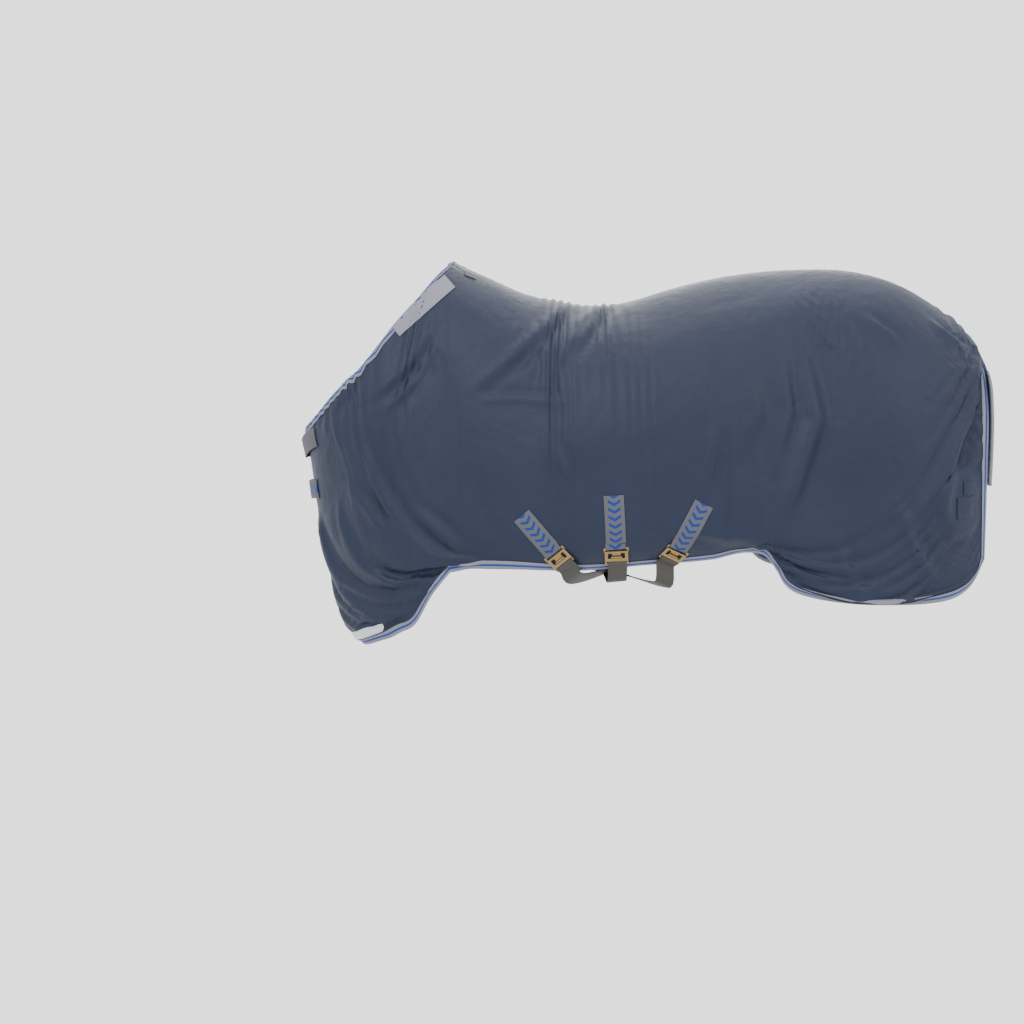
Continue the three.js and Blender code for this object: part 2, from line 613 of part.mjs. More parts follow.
surcingles.forEach(({ label, top, bottom, offTop, offBottom, level }) => {
  rug.add(sideTab(`surcingle_tab_${label}`, top, bottom, webWidth, sewnGap, webThick, -1, webbing()));
  rug.add(sideTab(`off_anchor_tab_${label}`, offTop, offBottom, webWidth, sewnGap, webThick, 1, webbing()));
  const near = tabFrame(top, bottom, -1);
  const off = tabFrame(offTop, offBottom, 1);

  const frameEnd = tabGap + hookFrameDrop;
  const rail = (hookFrameDrop - hookFrameSlot) / 2;
  const ring = cut('ring', block(near, [tabGap, frameEnd], [hookLow, hookLow + hookThick], half(hookFrameWidth)), [
    block(near, [tabGap + rail, frameEnd - rail], [hookLow - 1, hookLow + hookThick + 1], half(webWidth + 2))], null);
  const neckTop = plateLevel - 1.4;
  rug.add(join(`t_hook_${label}`, [ring,
    block(near, [frameEnd - 1, headReach], [hookLow, neckTop], half(neckWidth)),
    block(near, [headReach - headThick - 1, headReach], [neckTop - 1, headLift + headThick], half(neckWidth - 2)),
    block(near, [headReach - headThick - 1, headReach], [headLift, headLift + headThick], half(headLength)),
  ], brass()));

  const slotStart = plateStart + slotEdge;
  const plateEnd = plateStart + plateLength;
  rug.add(cut(`slot_plate_${label}`,
    block(near, [plateStart, plateEnd], [plateLevel, plateLevel + plateThick], half(plateWidth)), [
      block(near, [slotStart, slotStart + slotHeight], [0, plateLevel + 5], half(slotLength)),
      block(near, [plateEnd - 9, plateEnd - 5], [0, plateLevel + 5], half(webWidth + 2))], brass()));

  const bellyZ = hemLow - strapDrop - level * layerStep;
  const nearEnd = inFrame(near, plateEnd + 14, strapLevel + 3);
  const offEnd = inFrame(off, 28, 4);
  const under = (y, rise) => vec(lerp(nearEnd.x, offEnd.x, (y - nearEnd.y) / (offEnd.y - nearEnd.y)), y, bellyZ + rise);
  const points = [
    inFrame(near, plateEnd - strapUnderPlate, strapLevel), inFrame(near, plateEnd + 2, strapLevel), nearEnd,
    under(-hemTurn, strapClear), under(-sliderEnd, 0), under(0, 0), under(sliderEnd - sliderRun, 0),
    under(sliderEnd, 0), under(hemTurn, strapClear),
    offEnd, inFrame(off, 1.2, sewnGap + 1.2),
  ];
  const down = vec(0, 0, -1);
  const normals = [near.n, near.n, near.n, vec(0, -0.6, -1), down, down, down, down, vec(0, 0.6, -1), off.n, off.n];
  rug.add(ribbon(`belly_strap_${label}`, points, normals, webWidth, webThick, webbing()));

  const slide = makeFrame(points[6].clone().lerp(points[7], 0.5), points[7].clone().sub(points[6]), down);
  const outside = 3 * sliderGap + sliderFrame;
  rug.add(cut(`strap_slider_${label}`,
    block(slide, half(sliderLength), [-outside, webThick + outside], half(webWidth + 2 * outside)),
    [block(slide, half(sliderLength + 2), [-sliderGap, webThick + sliderGap], half(webWidth + 6 * sliderGap))],
    brass()));
});

// ---- Chest fastenings: strap and tongue on the near front, housing and tab on the off front ----
const heightRow = (c, z, side) => {
  let [low, high] = [0, 1];
  for (let k = 0; k < 24; k += 1) {
    const middle = (low + high) / 2;
    if (facetPoint(c, middle, 0, side).z > z) {
      low = middle;
    } else {
      high = middle;
    }
  }
  return low;
};
// Heights of each strap's middle at the near end and at the centre line.
[['upper', -404, -440, -7.6, 1.6], ['lower', -541, -548, -8.5, 1.2]].forEach(([label, nearZ, centreZ, nearColumn, overTape]) => {
  const clearOfTape = bindingThick + tapeCutGap + overTape;
  const across = (c, side) => {
    const share = (c - nearColumn) / (frontEdge + 1 - nearColumn);
    const z = lerp(nearZ, centreZ, share);
    const lift = lerp(sewnGap, clearOfTape, Math.min(1, 9 * share)) + strapRise * share ** 3;
    return facetPoint(c, heightRow(c, z, side), lift, side);
  };
  const points = spread(nearColumn, frontEdge + 0.04, 7).map((c) => across(c, -1));
  const overEdge = points[points.length - 1].clone().add(vec(-4, 0.7 * bindingWidth, 0));
  const normals = spread(nearColumn, frontEdge + 0.04, 7).map((c, k) => columnNormal(c, heightRow(c, points[k].z, -1)));
  const offColumn = -7.8;
  const housingRow = heightRow(offColumn, centreZ - 4, 1);
  const housingAt = facetPoint(offColumn, housingRow, 0, 1);
  const housingNext = facetPoint(offColumn + 0.4, housingRow, 0, 1);
  const frame = makeFrame(housingAt, housingNext.sub(housingAt), mirror(columnNormal(offColumn, housingRow)));
  const strapEnd = inFrame(frame, -clipGap, clipLevel);
  const strap = ribbon(`chest_strap_${label}`, [...points, overEdge, inFrame(frame, -14, clipLevel + 1), strapEnd],
    [...normals, frame.n, frame.n, frame.n], webWidth - 2, webThick, webbing());
  rug.add(cutToCloth(strap, frontCutters));
  rug.add(join(`chest_clip_tongue_${label}`,
    [block(frame, [0, clipTongue], [clipLevel + 0.4, clipLevel + 2], half(clipWidth - 14))], brass()));
  const mouth = clipTongue - clipInside;
  const shell = block(frame, [mouth, mouth + clipLength], [1, clipLevel + 5.5], half(clipWidth));
  const hollow = block(frame, [mouth - 1, clipTongue + 2], [clipLevel - 1.4, clipLevel + 4.2], half(clipWidth - 8));
  rug.add(cut(`chest_clip_housing_${label}`, shell, [hollow, ...frontCutters], brass()));
  const tabFrom = offColumn + 0.9;
  rug.add(patch(`off_chest_tab_${label}`, spread(tabFrom, tabFrom + 1.1, 5),
    spread(webWidth / 2 - 1, 1 - webWidth / 2, 3).map((rise) => (c) => heightRow(c, centreZ - 4 + rise, 1)),
    sewnGap, webThick, 1, webbing()));
});

// ---- Leg-strap rings: stitched patches outside, a webbing loop and a ring inside ----
[['near', -1], ['off', 1]].forEach(([label, side]) => {
  rug.add(sideTab(`${label}_upper_leg_patch`, [1206, -506], [1206, -540], 36, sewnGap, labelThick, side, navy()));
  rug.add(sideTab(`${label}_lower_leg_patch`, [1196, -546], [1196, -600], 54, sewnGap, labelThick, side, navy()));
  const origin = sidePoint(...legRingPlace, 0, side);
  const along = sidePoint(legRingPlace[0], legRingPlace[1] - 40, 0, side).sub(origin);
  const level = sidePoint(legRingPlace[0] + 40, legRingPlace[1], 0, side).sub(origin);
  const outward = along.clone().cross(level);
  const frame = makeFrame(origin, along, outward.multiplyScalar(Math.sign(outward.y * side)));
  const loopTop = -clothDepth - ringClear;
  rug.add(cut(`${label}_leg_ring_loop`, block(frame, [0, 40], [loopTop - 7, loopTop + 1], half(26)),
    [bodyCutter], webbing()));
  const ringTop = loopTop - 3;
  const ringStart = 40 + tabGap;
  const [ringDrop, ringWidth, wire] = [34, 44, 5];
  rug.add(cut(`${label}_leg_ring`,
    block(frame, [ringStart, ringStart + ringDrop], [ringTop - wire, ringTop], half(ringWidth)),
    [block(frame, [ringStart + wire, ringStart + ringDrop - wire], [ringTop - wire - 1, ringTop + 1], half(ringWidth - 2 * wire))],
    brass()));
});

// ---- Tail flap: sewn on over the dock, hanging behind the rear edge ----
const rear = section(1);
const archHeight = (y) => rear.wideZ + (rear.top - rear.wideZ) * Math.sqrt(1 - (y / rear.wide) ** 2);
const rearX = alongX(1);
const onBack = (x, y, lift) => {
  const sec = section(fractionAlong(x));
  return vec(x, y, lift + sec.wideZ + (sec.top - sec.wideZ) * Math.sqrt(1 - (y / sec.wide) ** 2));
};
const flapShares = [-1, -0.6, -0.2, 0.2, 0.6, 1];
const flapRows = [
  (s) => onBack(rearX - 56, s * flapTopHalf, 2.2),
  (s) => onBack(rearX - 24, s * (flapTopHalf + 30), 5),
  (s) => vec(rearX + 5, s * (flapTopHalf + 46), archHeight(s * (flapTopHalf + 46)) + 3),
  (s) => vec(rearX + 8 + flapBulge * (1 - s * s) * 0.6, s * (flapHalf - 18), lerp(rear.top - 55, rear.top - 90, s * s)),
  (s) => vec(rearX + 10 + flapBulge * (1 - s * s), s * flapHalf, rear.top - 170),
  (s) => vec(rearX + 10 + flapBulge * (1 - s * s), s * flapHalf, rear.top - 260),
  (s) => vec(rearX + 8 + flapBulge * (1 - s * s), s * flapHalf, rear.top - flapDrop),
];
const flapOuter = flapRows.map((row) => flapShares.map(row));
const flapSlope = (r, k) => {
  const [up, down] = [flapOuter[Math.max(0, r - 1)][k], flapOuter[Math.min(flapRows.length - 1, r + 1)][k]];
  const [left, right] = [flapOuter[r][Math.max(0, k - 1)], flapOuter[r][Math.min(flapShares.length - 1, k + 1)]];
  return down.clone().sub(up).cross(right.clone().sub(left)).normalize();
};
// The normal is shared out between neighbours, so that the two faces don't cross at the bend over the dock.
const flapNormal = (r, k) => {
  const sum = vec(0, 0, 0);
  [-1, 0, 1].forEach((down) => [-1, 0, 1].forEach((right) => sum.add(flapSlope(
    Math.min(flapRows.length - 1, Math.max(0, r + down)),
    Math.min(flapShares.length - 1, Math.max(0, k + right)),
  ))));
  return sum.normalize();
};
const flapPair = (r, k) => [flapOuter[r][k].clone().addScaledVector(flapNormal(r, k), flapThick), flapOuter[r][k].clone()];
const flapColumns = range(0, flapShares.length - 1);
const flapLoops = flapRows.map((_, r) => [...flapColumns.map((k) => flapPair(r, k)[0]),
  ...[...flapColumns].reverse().map((k) => flapPair(r, k)[1])]);
const flapCaps = range(0, flapShares.length - 2).map((k) => [k, k + 1, 2 * flapShares.length - 2 - k,
  2 * flapShares.length - 1 - k]);
rug.add(bar('tail_flap', flapLoops, flapCaps, navy()));

const flapStation = (r, k, towards) => {
  const [outer, inner] = flapPair(r, k);
  const into = vec(0, 0, 0);
  towards.forEach(([r2, k2]) => into.add(flapPair(r2, k2)[0].sub(outer).normalize()));
  return tapeLoop(outer, inner, into, flapLegGap);
};
const [lastFlapRow, lastShare] = [flapRows.length - 1, flapShares.length - 1];
const flapSide = range(3, lastFlapRow - 1);
rug.add(bar('tail_flap_binding', [
  ...flapSide.map((r) => flapStation(r, 0, [[r, 1]])),
  flapStation(lastFlapRow, 0, [[lastFlapRow, 1], [lastFlapRow - 1, 0]]),
  ...range(1, lastShare - 1).map((k) => flapStation(lastFlapRow, k, [[lastFlapRow - 1, k]])),
  flapStation(lastFlapRow, lastShare, [[lastFlapRow, lastShare - 1], [lastFlapRow - 1, lastShare]]),
  ...[...flapSide].reverse().map((r) => flapStation(r, lastShare, [[r, lastShare - 1]])),
], bindingCaps, tape()));

export default rug;
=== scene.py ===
import json
import math

import bpy
import numpy as np
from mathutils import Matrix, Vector

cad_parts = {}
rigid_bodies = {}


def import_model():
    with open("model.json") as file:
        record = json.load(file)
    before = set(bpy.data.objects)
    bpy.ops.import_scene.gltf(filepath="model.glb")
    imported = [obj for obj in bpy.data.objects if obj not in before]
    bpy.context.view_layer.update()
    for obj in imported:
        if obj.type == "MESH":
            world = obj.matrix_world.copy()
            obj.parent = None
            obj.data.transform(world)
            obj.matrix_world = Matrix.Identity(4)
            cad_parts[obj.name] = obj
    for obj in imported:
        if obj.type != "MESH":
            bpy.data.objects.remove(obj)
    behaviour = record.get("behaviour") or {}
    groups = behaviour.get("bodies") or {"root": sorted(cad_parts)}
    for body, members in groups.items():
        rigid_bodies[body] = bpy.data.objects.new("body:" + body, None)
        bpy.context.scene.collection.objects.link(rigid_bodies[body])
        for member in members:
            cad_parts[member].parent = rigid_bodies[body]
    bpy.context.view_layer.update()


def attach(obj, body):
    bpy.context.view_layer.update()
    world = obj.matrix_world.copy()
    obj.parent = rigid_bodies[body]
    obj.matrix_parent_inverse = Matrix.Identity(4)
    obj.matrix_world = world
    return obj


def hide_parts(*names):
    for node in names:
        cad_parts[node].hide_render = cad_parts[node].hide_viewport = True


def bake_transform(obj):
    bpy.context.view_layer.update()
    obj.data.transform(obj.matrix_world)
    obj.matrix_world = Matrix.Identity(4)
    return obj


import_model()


# ---- Camera and light ----
# A long lens at the horse's shoulder height, tipped down a little, in a pale room with large soft lights.
scene = bpy.context.scene
camera = bpy.data.objects.new("camera", bpy.data.cameras.new("camera"))
scene.collection.objects.link(camera)
camera.location = (0.0583, -4.6, -0.0983)
camera.rotation_euler = (math.radians(83.656), 0, 0)
camera.data.lens = 61.4
scene.camera = camera


def colour(text):
    """Linear colour of an sRGB hex value."""
    parts = [int(text[k : k + 2], 16) / 255 for k in (1, 3, 5)]
    return [c / 12.92 if c <= 0.04045 else ((c + 0.055) / 1.055) ** 2.4 for c in parts] + [1]


def node(tree, kind, inputs=(), **settings):
    """A new node with its settings, and its inputs as values or links; returns its first output."""
    made = tree.nodes.new(kind)
    for key, value in settings.items():
        setattr(made, key, value)
    for key, value in dict(inputs).items():
        if isinstance(value, bpy.types.NodeSocket):
            tree.links.new(value, made.inputs[key])
        else:
            made.inputs[key].default_value = value
    return made.outputs[0]


def material(name, **inputs):
    """A material with one Principled shader; inputs are its sockets by name, with _ for a space."""
    made = bpy.data.materials.new(name)
    made.use_nodes = True
    shader = made.node_tree.nodes["Principled BSDF"]
    for key, value in inputs.items():
        shader.inputs[key.replace("_", " ")].default_value = value
    return made, made.node_tree, shader


world = bpy.data.worlds.new("pale room")
world.use_nodes = True
world.node_tree.nodes["Background"].inputs["Color"].default_value = colour("#f4f5f7")
world.node_tree.nodes["Background"].inputs["Strength"].default_value = 2.3
scene.world = world
for label, place, size, power in [
    ("key light", (-1.6, -3.6, 2.6), 2.6, 130),
    ("fill light", (3.2, -3.0, 1.6), 2.4, 60),
    ("top light", (0.5, 0.8, 3.2), 3.0, 90),
    ("back light", (0.8, 4.0, 1.6), 2.4, 80),
]:
    lamp = bpy.data.objects.new(label, bpy.data.lights.new(label, "AREA"))
    scene.collection.objects.link(lamp)
    lamp.data.size = size
    lamp.data.energy = power
    lamp.location = place
    lamp.rotation_euler = (Vector((0.5, 0, -0.45)) - lamp.location).to_track_quat("-Z", "Y").to_euler()


# ---- Outer shell ----
# Coated nylon, cut in two halves with a seam along the back, draped over the horse.
body_length, neck_column_x, chest_reach = 1.36, -0.098, 0.374
barrel_half_width, side_drop, front_drop, neck_drop = 0.335, 0.811, 0.951, 0.393
chest_lap, lap_lift = 0.04, 0.012
topline_z = [[0, 46], [0.072, 4.4], [0.138, -33], [0.212, -51], [0.285, -57], [0.351, -47], [0.418, -23],
             [0.484, -1], [0.557, 16], [0.631, 26], [0.704, 29], [0.778, 19], [0.851, -11], [0.918, -63],
             [0.962, -113], [1, -168]]
width_share = [[0, 0.78], [0.11, 0.866], [0.22, 0.95], [0.366, 1], [0.51, 0.985], [0.66, 0.93], [0.77, 0.915],
               [0.844, 0.89], [0.903, 0.83], [0.954, 0.715], [1, 0.565]]
hem_share = [[0, 0.906], [0.043, 0.892], [0.1, 0.892], [0.22, 0.897], [0.366, 0.879], [0.484, 0.862],
             [0.55, 0.838], [0.577, 0.846], [0.598, 0.885], [0.617, 0.938], [0.653, 0.97], [0.734, 0.994],
             [0.822, 1], [0.903, 0.994], [0.947, 0.975], [0.978, 0.935], [1, 0.873]]
hem_width_share = [[0, 0.73], [0.1, 0.782], [0.5, 0.782], [0.55, 0.82], [0.62, 0.866], [0.734, 0.866],
                   [0.844, 0.835], [0.918, 0.78], [0.962, 0.69], [1, 0.56]]
widest_z = [[0, -410], [0.33, -450], [0.66, -390], [1, -390]]
tuck_power = [[0, 2.5], [0.14, 5], [0.484, 5], [0.62, 2.5], [1, 2]]
neck_share = [[0, 0], [0.19, 0.078], [0.318, 0.214], [0.51, 0.613], [0.668, 0.784], [0.828, 0.932], [1, 1]]
front_hem_share = [[0, 0], [0.098, 0.27], [0.204, 0.625], [0.318, 0.755], [0.433, 0.847], [0.7, 0.954],
                   [1, 1]]
breast_share = [[-990, 0.5], [-953, 0.607], [-893, 0.738], [-763, 0.826], [-613, 0.914], [-463, 0.968],
                [-393, 1], [-313, 0.955], [-233, 0.861], [-113, 0.647], [-43, 0.439], [17, 0.273],
                [46, 0.139]]
front_turns = [[0, 0], [0.14, 0.045], [0.27, 0.09], [0.38, 0.128], [0.51, 0.166], [0.586, 0.255],
               [0.668, 0.37], [0.75, 0.51], [0.84, 0.668], [0.923, 0.84], [1, 1]]
stations = [0, 0.065, 0.138, 0.212, 0.285, 0.366, 0.447, 0.52, 0.577, 0.617, 0.66, 0.745, 0.84, 0.915,
            0.962, 1]
lap_turn = 1 + math.asin(chest_lap / (barrel_half_width * width_share[0][1])) * 2 / math.pi
front_edge, rear_edge = -11, 15


def curve(pairs, at):
    """Smooth curve through a list of pairs, for an array of places."""
    x, y = np.array(pairs, float).T
    at = np.clip(np.asarray(at, float), x[0], x[-1])
    slope = np.diff(y) / np.diff(x)
    tangent = np.concatenate([slope[:1], np.where(
        slope[:-1] * slope[1:] <= 0, 0, (y[2:] - y[:-2]) / (x[2:] - x[:-2])), slope[-1:]])
    i = np.clip(np.searchsorted(x, at) - 1, 0, len(x) - 2)
    span = x[i + 1] - x[i]
    s = (at - x[i]) / span
    return (y[i] * (1 + 2 * s) * (1 - s) ** 2 + y[i + 1] * s * s * (3 - 2 * s)
            + span * (tangent[i] * s * (1 - s) ** 2 - tangent[i + 1] * s * s * (1 - s)))


def mix(a, b, t):
    return a + (b - a) * t


def smooth(at, low, high):
    t = np.clip((at - low) / (high - low), 0, 1)
    return t * t * (3 - 2 * t)


def section(f):
    """The cross-section of the draped rug at shares of its length."""
    return [curve(topline_z, f) / 1000, curve(widest_z, f) / 1000, curve(width_share, f) * barrel_half_width,
            -curve(hem_share, f) * side_drop, curve(hem_width_share, f) * barrel_half_width,
            curve(tuck_power, f)]


def half_width(sec, z):
    top, wide_z, wide, hem_z, hem_wide, tuck = sec
    rise = np.clip((z - wide_z) / (top - wide_z), 0, 1)
    fall = np.clip((wide_z - z) / (wide_z - hem_z), 0, None)
    return np.where(z >= wide_z, wide * np.sqrt(1 - rise * rise), wide - (wide - hem_wide) * fall ** tuck)


def drape(a, v):
    """Places on the outer face of the near half. a is the column: 0 to 15 along the body, below 0 round
    the breast. v runs from the back or neckline, 0, to the hem, 1."""
    a, v = np.broadcast_arrays(np.asarray(a, float), np.asarray(v, float))
    f = np.interp(a, range(len(stations)), stations)
    sec = section(f)
    top, wide_z, wide, hem_z = sec[:4]
    swing = np.minimum(v, 0.5) * math.pi
    z = np.where(v <= 0.5, wide_z + (top - wide_z) * np.cos(swing), mix(wide_z, hem_z, (v - 0.5) / 0.5))
    y = np.where(v <= 0.5, -wide * np.sin(swing), -half_width(sec, z))
    body = np.stack([neck_column_x + f * body_length, y, z], -1)
    turns = np.array(front_turns + [[lap_turn, lap_turn]])
    turn_top, turn_hem = [np.interp(-a, range(len(turns)), turns[:, k]) for k in (0, 1)]
    sec = section(0 * a)
    turn = mix(turn_top, turn_hem, v)
    top = mix(sec[0], -neck_drop, curve(neck_share, np.minimum(1, turn_top)))
    hem = mix(sec[3], -front_drop, curve(front_hem_share, np.minimum(1, turn_hem)))
    middle = mix(sec[1], (top + hem) / 2, np.minimum(1, turn))
    z = np.where(v <= 0.5, middle + (top - middle) * np.cos(swing), mix(middle, hem, (v - 0.5) / 0.5))
    reach = chest_reach * curve(breast_share, z * 1000)
    angle = turn * math.pi / 2
    front = np.stack([neck_column_x - reach * np.sin(angle), -half_width(sec, z) * np.cos(angle), z], -1)
    return np.where((a >= 0)[..., None], body, front)


def normals_of(points):
    """Unit normals of a grid of places, outward on the near side."""
    along = np.gradient(points, axis=0)
    down = np.gradient(points, axis=1)
    along[:, 0] = along[:, 1]
    normal = np.cross(down, along)
    return normal / np.maximum(np.linalg.norm(normal, axis=-1, keepdims=True), 1e-12)


def mesh_object(name, points, faces, uv=None):
    mesh = bpy.data.meshes.new(name)
    mesh.from_pydata(np.asarray(points).reshape(-1, 3).tolist(), [], np.asarray(faces).tolist())
    mesh.shade_smooth()
    if uv is not None:
        layer = mesh.uv_layers.new(name="cloth")
        corner = np.empty(len(mesh.loops), int)
        mesh.loops.foreach_get("vertex_index", corner)
        layer.data.foreach_set("uv", np.asarray(uv, float).reshape(-1, 2)[corner].ravel())
    made = bpy.data.objects.new(name, mesh)
    scene.collection.objects.link(made)
    return made


def grid_faces(rows, columns, flip=False, first=0):
    k = first + np.arange(rows * columns).reshape(rows, columns)
    faces = np.stack([k[:-1, :-1], k[:-1, 1:], k[1:, 1:], k[1:, :-1]], -1).reshape(-1, 4)
    return faces[:, ::-1] if flip else faces


# The coarse cloth: near half, then off half, sharing the places on the back.
fine = 2
front_columns = np.linspace(front_edge, 0, 50)[:-1]
body_columns = np.interp(np.linspace(0, 1, 112), stations, range(len(stations)))
columns = np.concatenate([front_columns, body_columns])
cloth_rows = np.linspace(0, 1, 78)
columns_grid, rows_grid = np.meshgrid(columns, cloth_rows, indexing="ij")
flat_half = drape(columns_grid, rows_grid)
near_base = flat_half.copy()
turn_here = np.interp(-columns_grid, range(12), [t[0] for t in front_turns] + [lap_turn])
lap_rise = lap_lift * smooth(turn_here, 0.72, 0.98)
near_base += normals_of(flat_half) * lap_rise[..., None]
off_base = flat_half * [1, -1, 1]


def hollow(points):
    """How far the horse's body stands in from the cloth, most at the flank, shoulder, elbow and thighs."""
    x, z = points[..., 0], points[..., 2]
    places = [(0.84, -0.34, 0.1, 0.2, 0.04), (0.1, -0.32, 0.09, 0.14, 0.02), (-0.16, -0.3, 0.07, 0.16, 0.03),
              (1.16, -0.5, 0.12, 0.2, 0.035), (-0.1, -0.66, 0.12, 0.1, 0.025),
              (0.26, -0.07, 0.14, 0.05, 0.012),
              (-0.3, -0.72, 0.1, 0.14, 0.03), (0.66, -0.58, 0.16, 0.08, 0.02)]
    return 0.006 + sum(deep * np.exp(-((x - px) / wide) ** 2 - ((z - pz) / high) ** 2)
                       for px, pz, wide, high, deep in places)


def settle(near, off):
    """The two halves as one cloth, a little larger than the body under it, sunk on to it by simulation."""
    count, rows = near.shape[:2]
    body_from = len(front_columns)
    number_near = np.arange(count * rows).reshape(count, rows)
    number_off = number_near + count * rows
    number_off[body_from:, 0] = number_near[body_from:, 0]
    quads = [np.stack([n[:-1, :-1], n[:-1, 1:], n[1:, 1:], n[1:, :-1]], -1).reshape(-1, 4)
             for n in (number_near, number_off)]
    cloth = mesh_object("settling cloth", np.concatenate([near.reshape(-1, 3), off.reshape(-1, 3)]),
                        np.concatenate([quads[0], quads[1][:, ::-1]]))
    edge = np.zeros((count, rows))
    edge[:2] = edge[-2:] = 1
    edge[:, -2:] = 1
    edge[:body_from, :2] = 1
    holds = cloth.vertex_groups.new(name="held")
    held = np.flatnonzero(np.concatenate([edge.ravel(), edge.ravel()]) > 0.5)
    holds.add([int(k) for k in held], 1, "REPLACE")
    bodies = []
    for side, points in (("near", near), ("off", off)):
        normal = normals_of(near_base) if side == "near" else normals_of(flat_half) * [1, -1, 1]
        inside = (points - normal * hollow(points)[..., None])[::2, ::2]
        form = mesh_object("horse form " + side, inside, grid_faces(*inside.shape[:2], flip=side == "off"))
        form.modifiers.new("collision", "COLLISION")
        form.collision.thickness_outer = 0.004
        form.collision.cloth_friction = 12
        bodies.append(form)
    physics = cloth.modifiers.new("cloth", "CLOTH")
    settings = physics.settings
    settings.quality = 5
    settings.mass = 0.25
    settings.air_damping = 2
    settings.tension_stiffness = settings.compression_stiffness = 12
    settings.shear_stiffness = 4
    settings.bending_stiffness = 0.15
    settings.tension_damping = settings.compression_damping = 6
    settings.vertex_group_mass = "held"
    settings.shrink_min = settings.shrink_max = -0.03
    physics.collision_settings.distance_min = 0.003
    physics.collision_settings.collision_quality = 2
    physics.point_cache.frame_end = 26
    scene.frame_start, scene.frame_end = 1, 26
    for step in range(1, 27):
        scene.frame_set(step)
    settled = cloth.evaluated_get(bpy.context.evaluated_depsgraph_get()).to_mesh()
    places = np.empty(len(settled.vertices) * 3)
    settled.vertices.foreach_get("co", places)
    places = places.reshape(-1, 3)
    result = [places[number_near], places[number_off]]
    for made in [cloth] + bodies:
        bpy.data.objects.remove(made, do_unlink=True)
    scene.frame_set(1)
    return result


simulated = settle(near_base, off_base)


def finer(values, times):
    """A grid of values with times as many steps each way, along smooth curves."""
    for axis in (0, 1):
        values = np.moveaxis(values, axis, 0)
        count = len(values)
        at = np.linspace(0, count - 1, (count - 1) * times + 1)
        k = np.clip(at.astype(int), 0, count - 2)
        t = (at - k).reshape((-1,) + (1,) * (values.ndim - 1))
        p0, p1, p2, p3 = [values[np.clip(k + d, 0, count - 1)] for d in (-1, 0, 1, 2)]
        values = 0.5 * (2 * p1 + (p2 - p0) * t + (2 * p0 - 5 * p1 + 4 * p2 - p3) * t ** 2
                        + (3 * p1 - p0 - 3 * p2 + p3) * t ** 3)
        values = np.moveaxis(values, 0, axis)
    return values


def clamp_to(base, moved, most=0.022):
    """moved, kept within most of base, and close to it under the metal fittings."""
    step = moved - base
    length = np.linalg.norm(step, axis=-1, keepdims=True)
    allowed = most * np.ones(step.shape[:2] + (1,))
    for x, z, wide, high in [(0.32, -0.7, 0.36, 0.085), (1.2, -0.56, 0.07, 0.09), (-0.47, -0.49, 0.12, 0.14)]:
        apart = np.hypot((base[..., 0] - x) / wide, (base[..., 2] - z) / high)
        allowed *= mix(0.03, 1, smooth(apart, 0.75, 1.35))[..., None]
    return base + step * np.minimum(1, allowed / np.maximum(length, 1e-9))


# Folds drawn along lines in side view, in millimetres: points, width and height.
near_folds = [
    ([(-145, -122), (-205, -220), (-294, -297)], 15, 8),
    ([(-130, -160), (-190, -260), (-262, -330)], 12, 6),
    ([(-343, -235), (-393, -327)], 12, 5),
    ([(214, -48), (120, -140), (-34, -272)], 16, 9),
    ([(320, -36), (250, -120), (196, -190)], 14, 10),
    ([(290, -60), (230, -110), (160, -230)], 10, 6),
    ([(-34, -300), (80, -296), (178, -302)], 10, 5),
    ([(770, -160), (808, -347), (758, -500), (697, -646)], 26, 14),
    ([(720, -150), (740, -330), (700, -470)], 18, 7),
    ([(945, -98), (1000, -140), (1030, -175)], 10, 6),
    ([(900, -110), (960, -200)], 9, 4),
    ([(1118, -110), (1165, -150), (1205, -175)], 10, 10),
    ([(1180, -347), (1150, -480), (1130, -596)], 22, 10),
    ([(1020, -560), (1060, -660), (1120, -760)], 18, 7),
    ([(860, -640), (900, -740), (940, -790)], 16, 6),
    ([(-355, -521), (-290, -600), (-219, -670)], 15, 7),
    ([(-194, -571), (-110, -640), (-46, -708)], 16, 7),
    ([(-330, -690), (-270, -760), (-190, -800)], 14, 6),
    ([(170, -410), (190, -480), (180, -540)], 14, 5),
    ([(560, -360), (540, -470), (520, -560)], 16, 6),
    ([(640, -230), (660, -330), (620, -430)], 20, 6),
]


def folded(points, normal, folds, sign):
    """The cloth with each fold raised along its line: a ridge with a hollow beside it."""
    x, z = points[..., 0] * 1000, points[..., 2] * 1000
    side_on = smooth(sign * normal[..., 1], 0.05, 0.35)
    for line, width, height in folds:
        best = np.full(x.shape, 1e9)
        across, share = np.zeros(x.shape), np.zeros(x.shape)
        lengths = [math.dist(a, b) for a, b in zip(line, line[1:])]
        done = 0
        for (x0, z0), (x1, z1), length in zip(line, line[1:], lengths):
            t = np.clip(((x - x0) * (x1 - x0) + (z - z0) * (z1 - z0)) / length ** 2, 0, 1)
            dx, dz = x - x0 - t * (x1 - x0), z - z0 - t * (z1 - z0)
            apart = np.hypot(dx, dz)
            closer = apart < best
            turn = np.sign((x1 - x0) * dz - (z1 - z0) * dx)
            across = np.where(closer, apart * turn, across)
            share = np.where(closer, (done + t * length) / sum(lengths), share)
            best = np.minimum(best, apart)
            done += length
        s = across / width
        shape = np.exp(-s * s) - 0.7 * np.exp(-((s - 1.5) ** 2))
        fade = np.sin(np.pi * np.clip(share, 0.02, 0.98)) ** 0.6
        points = points + normal * (shape * fade * height / 1000 * side_on)[..., None]
    return points


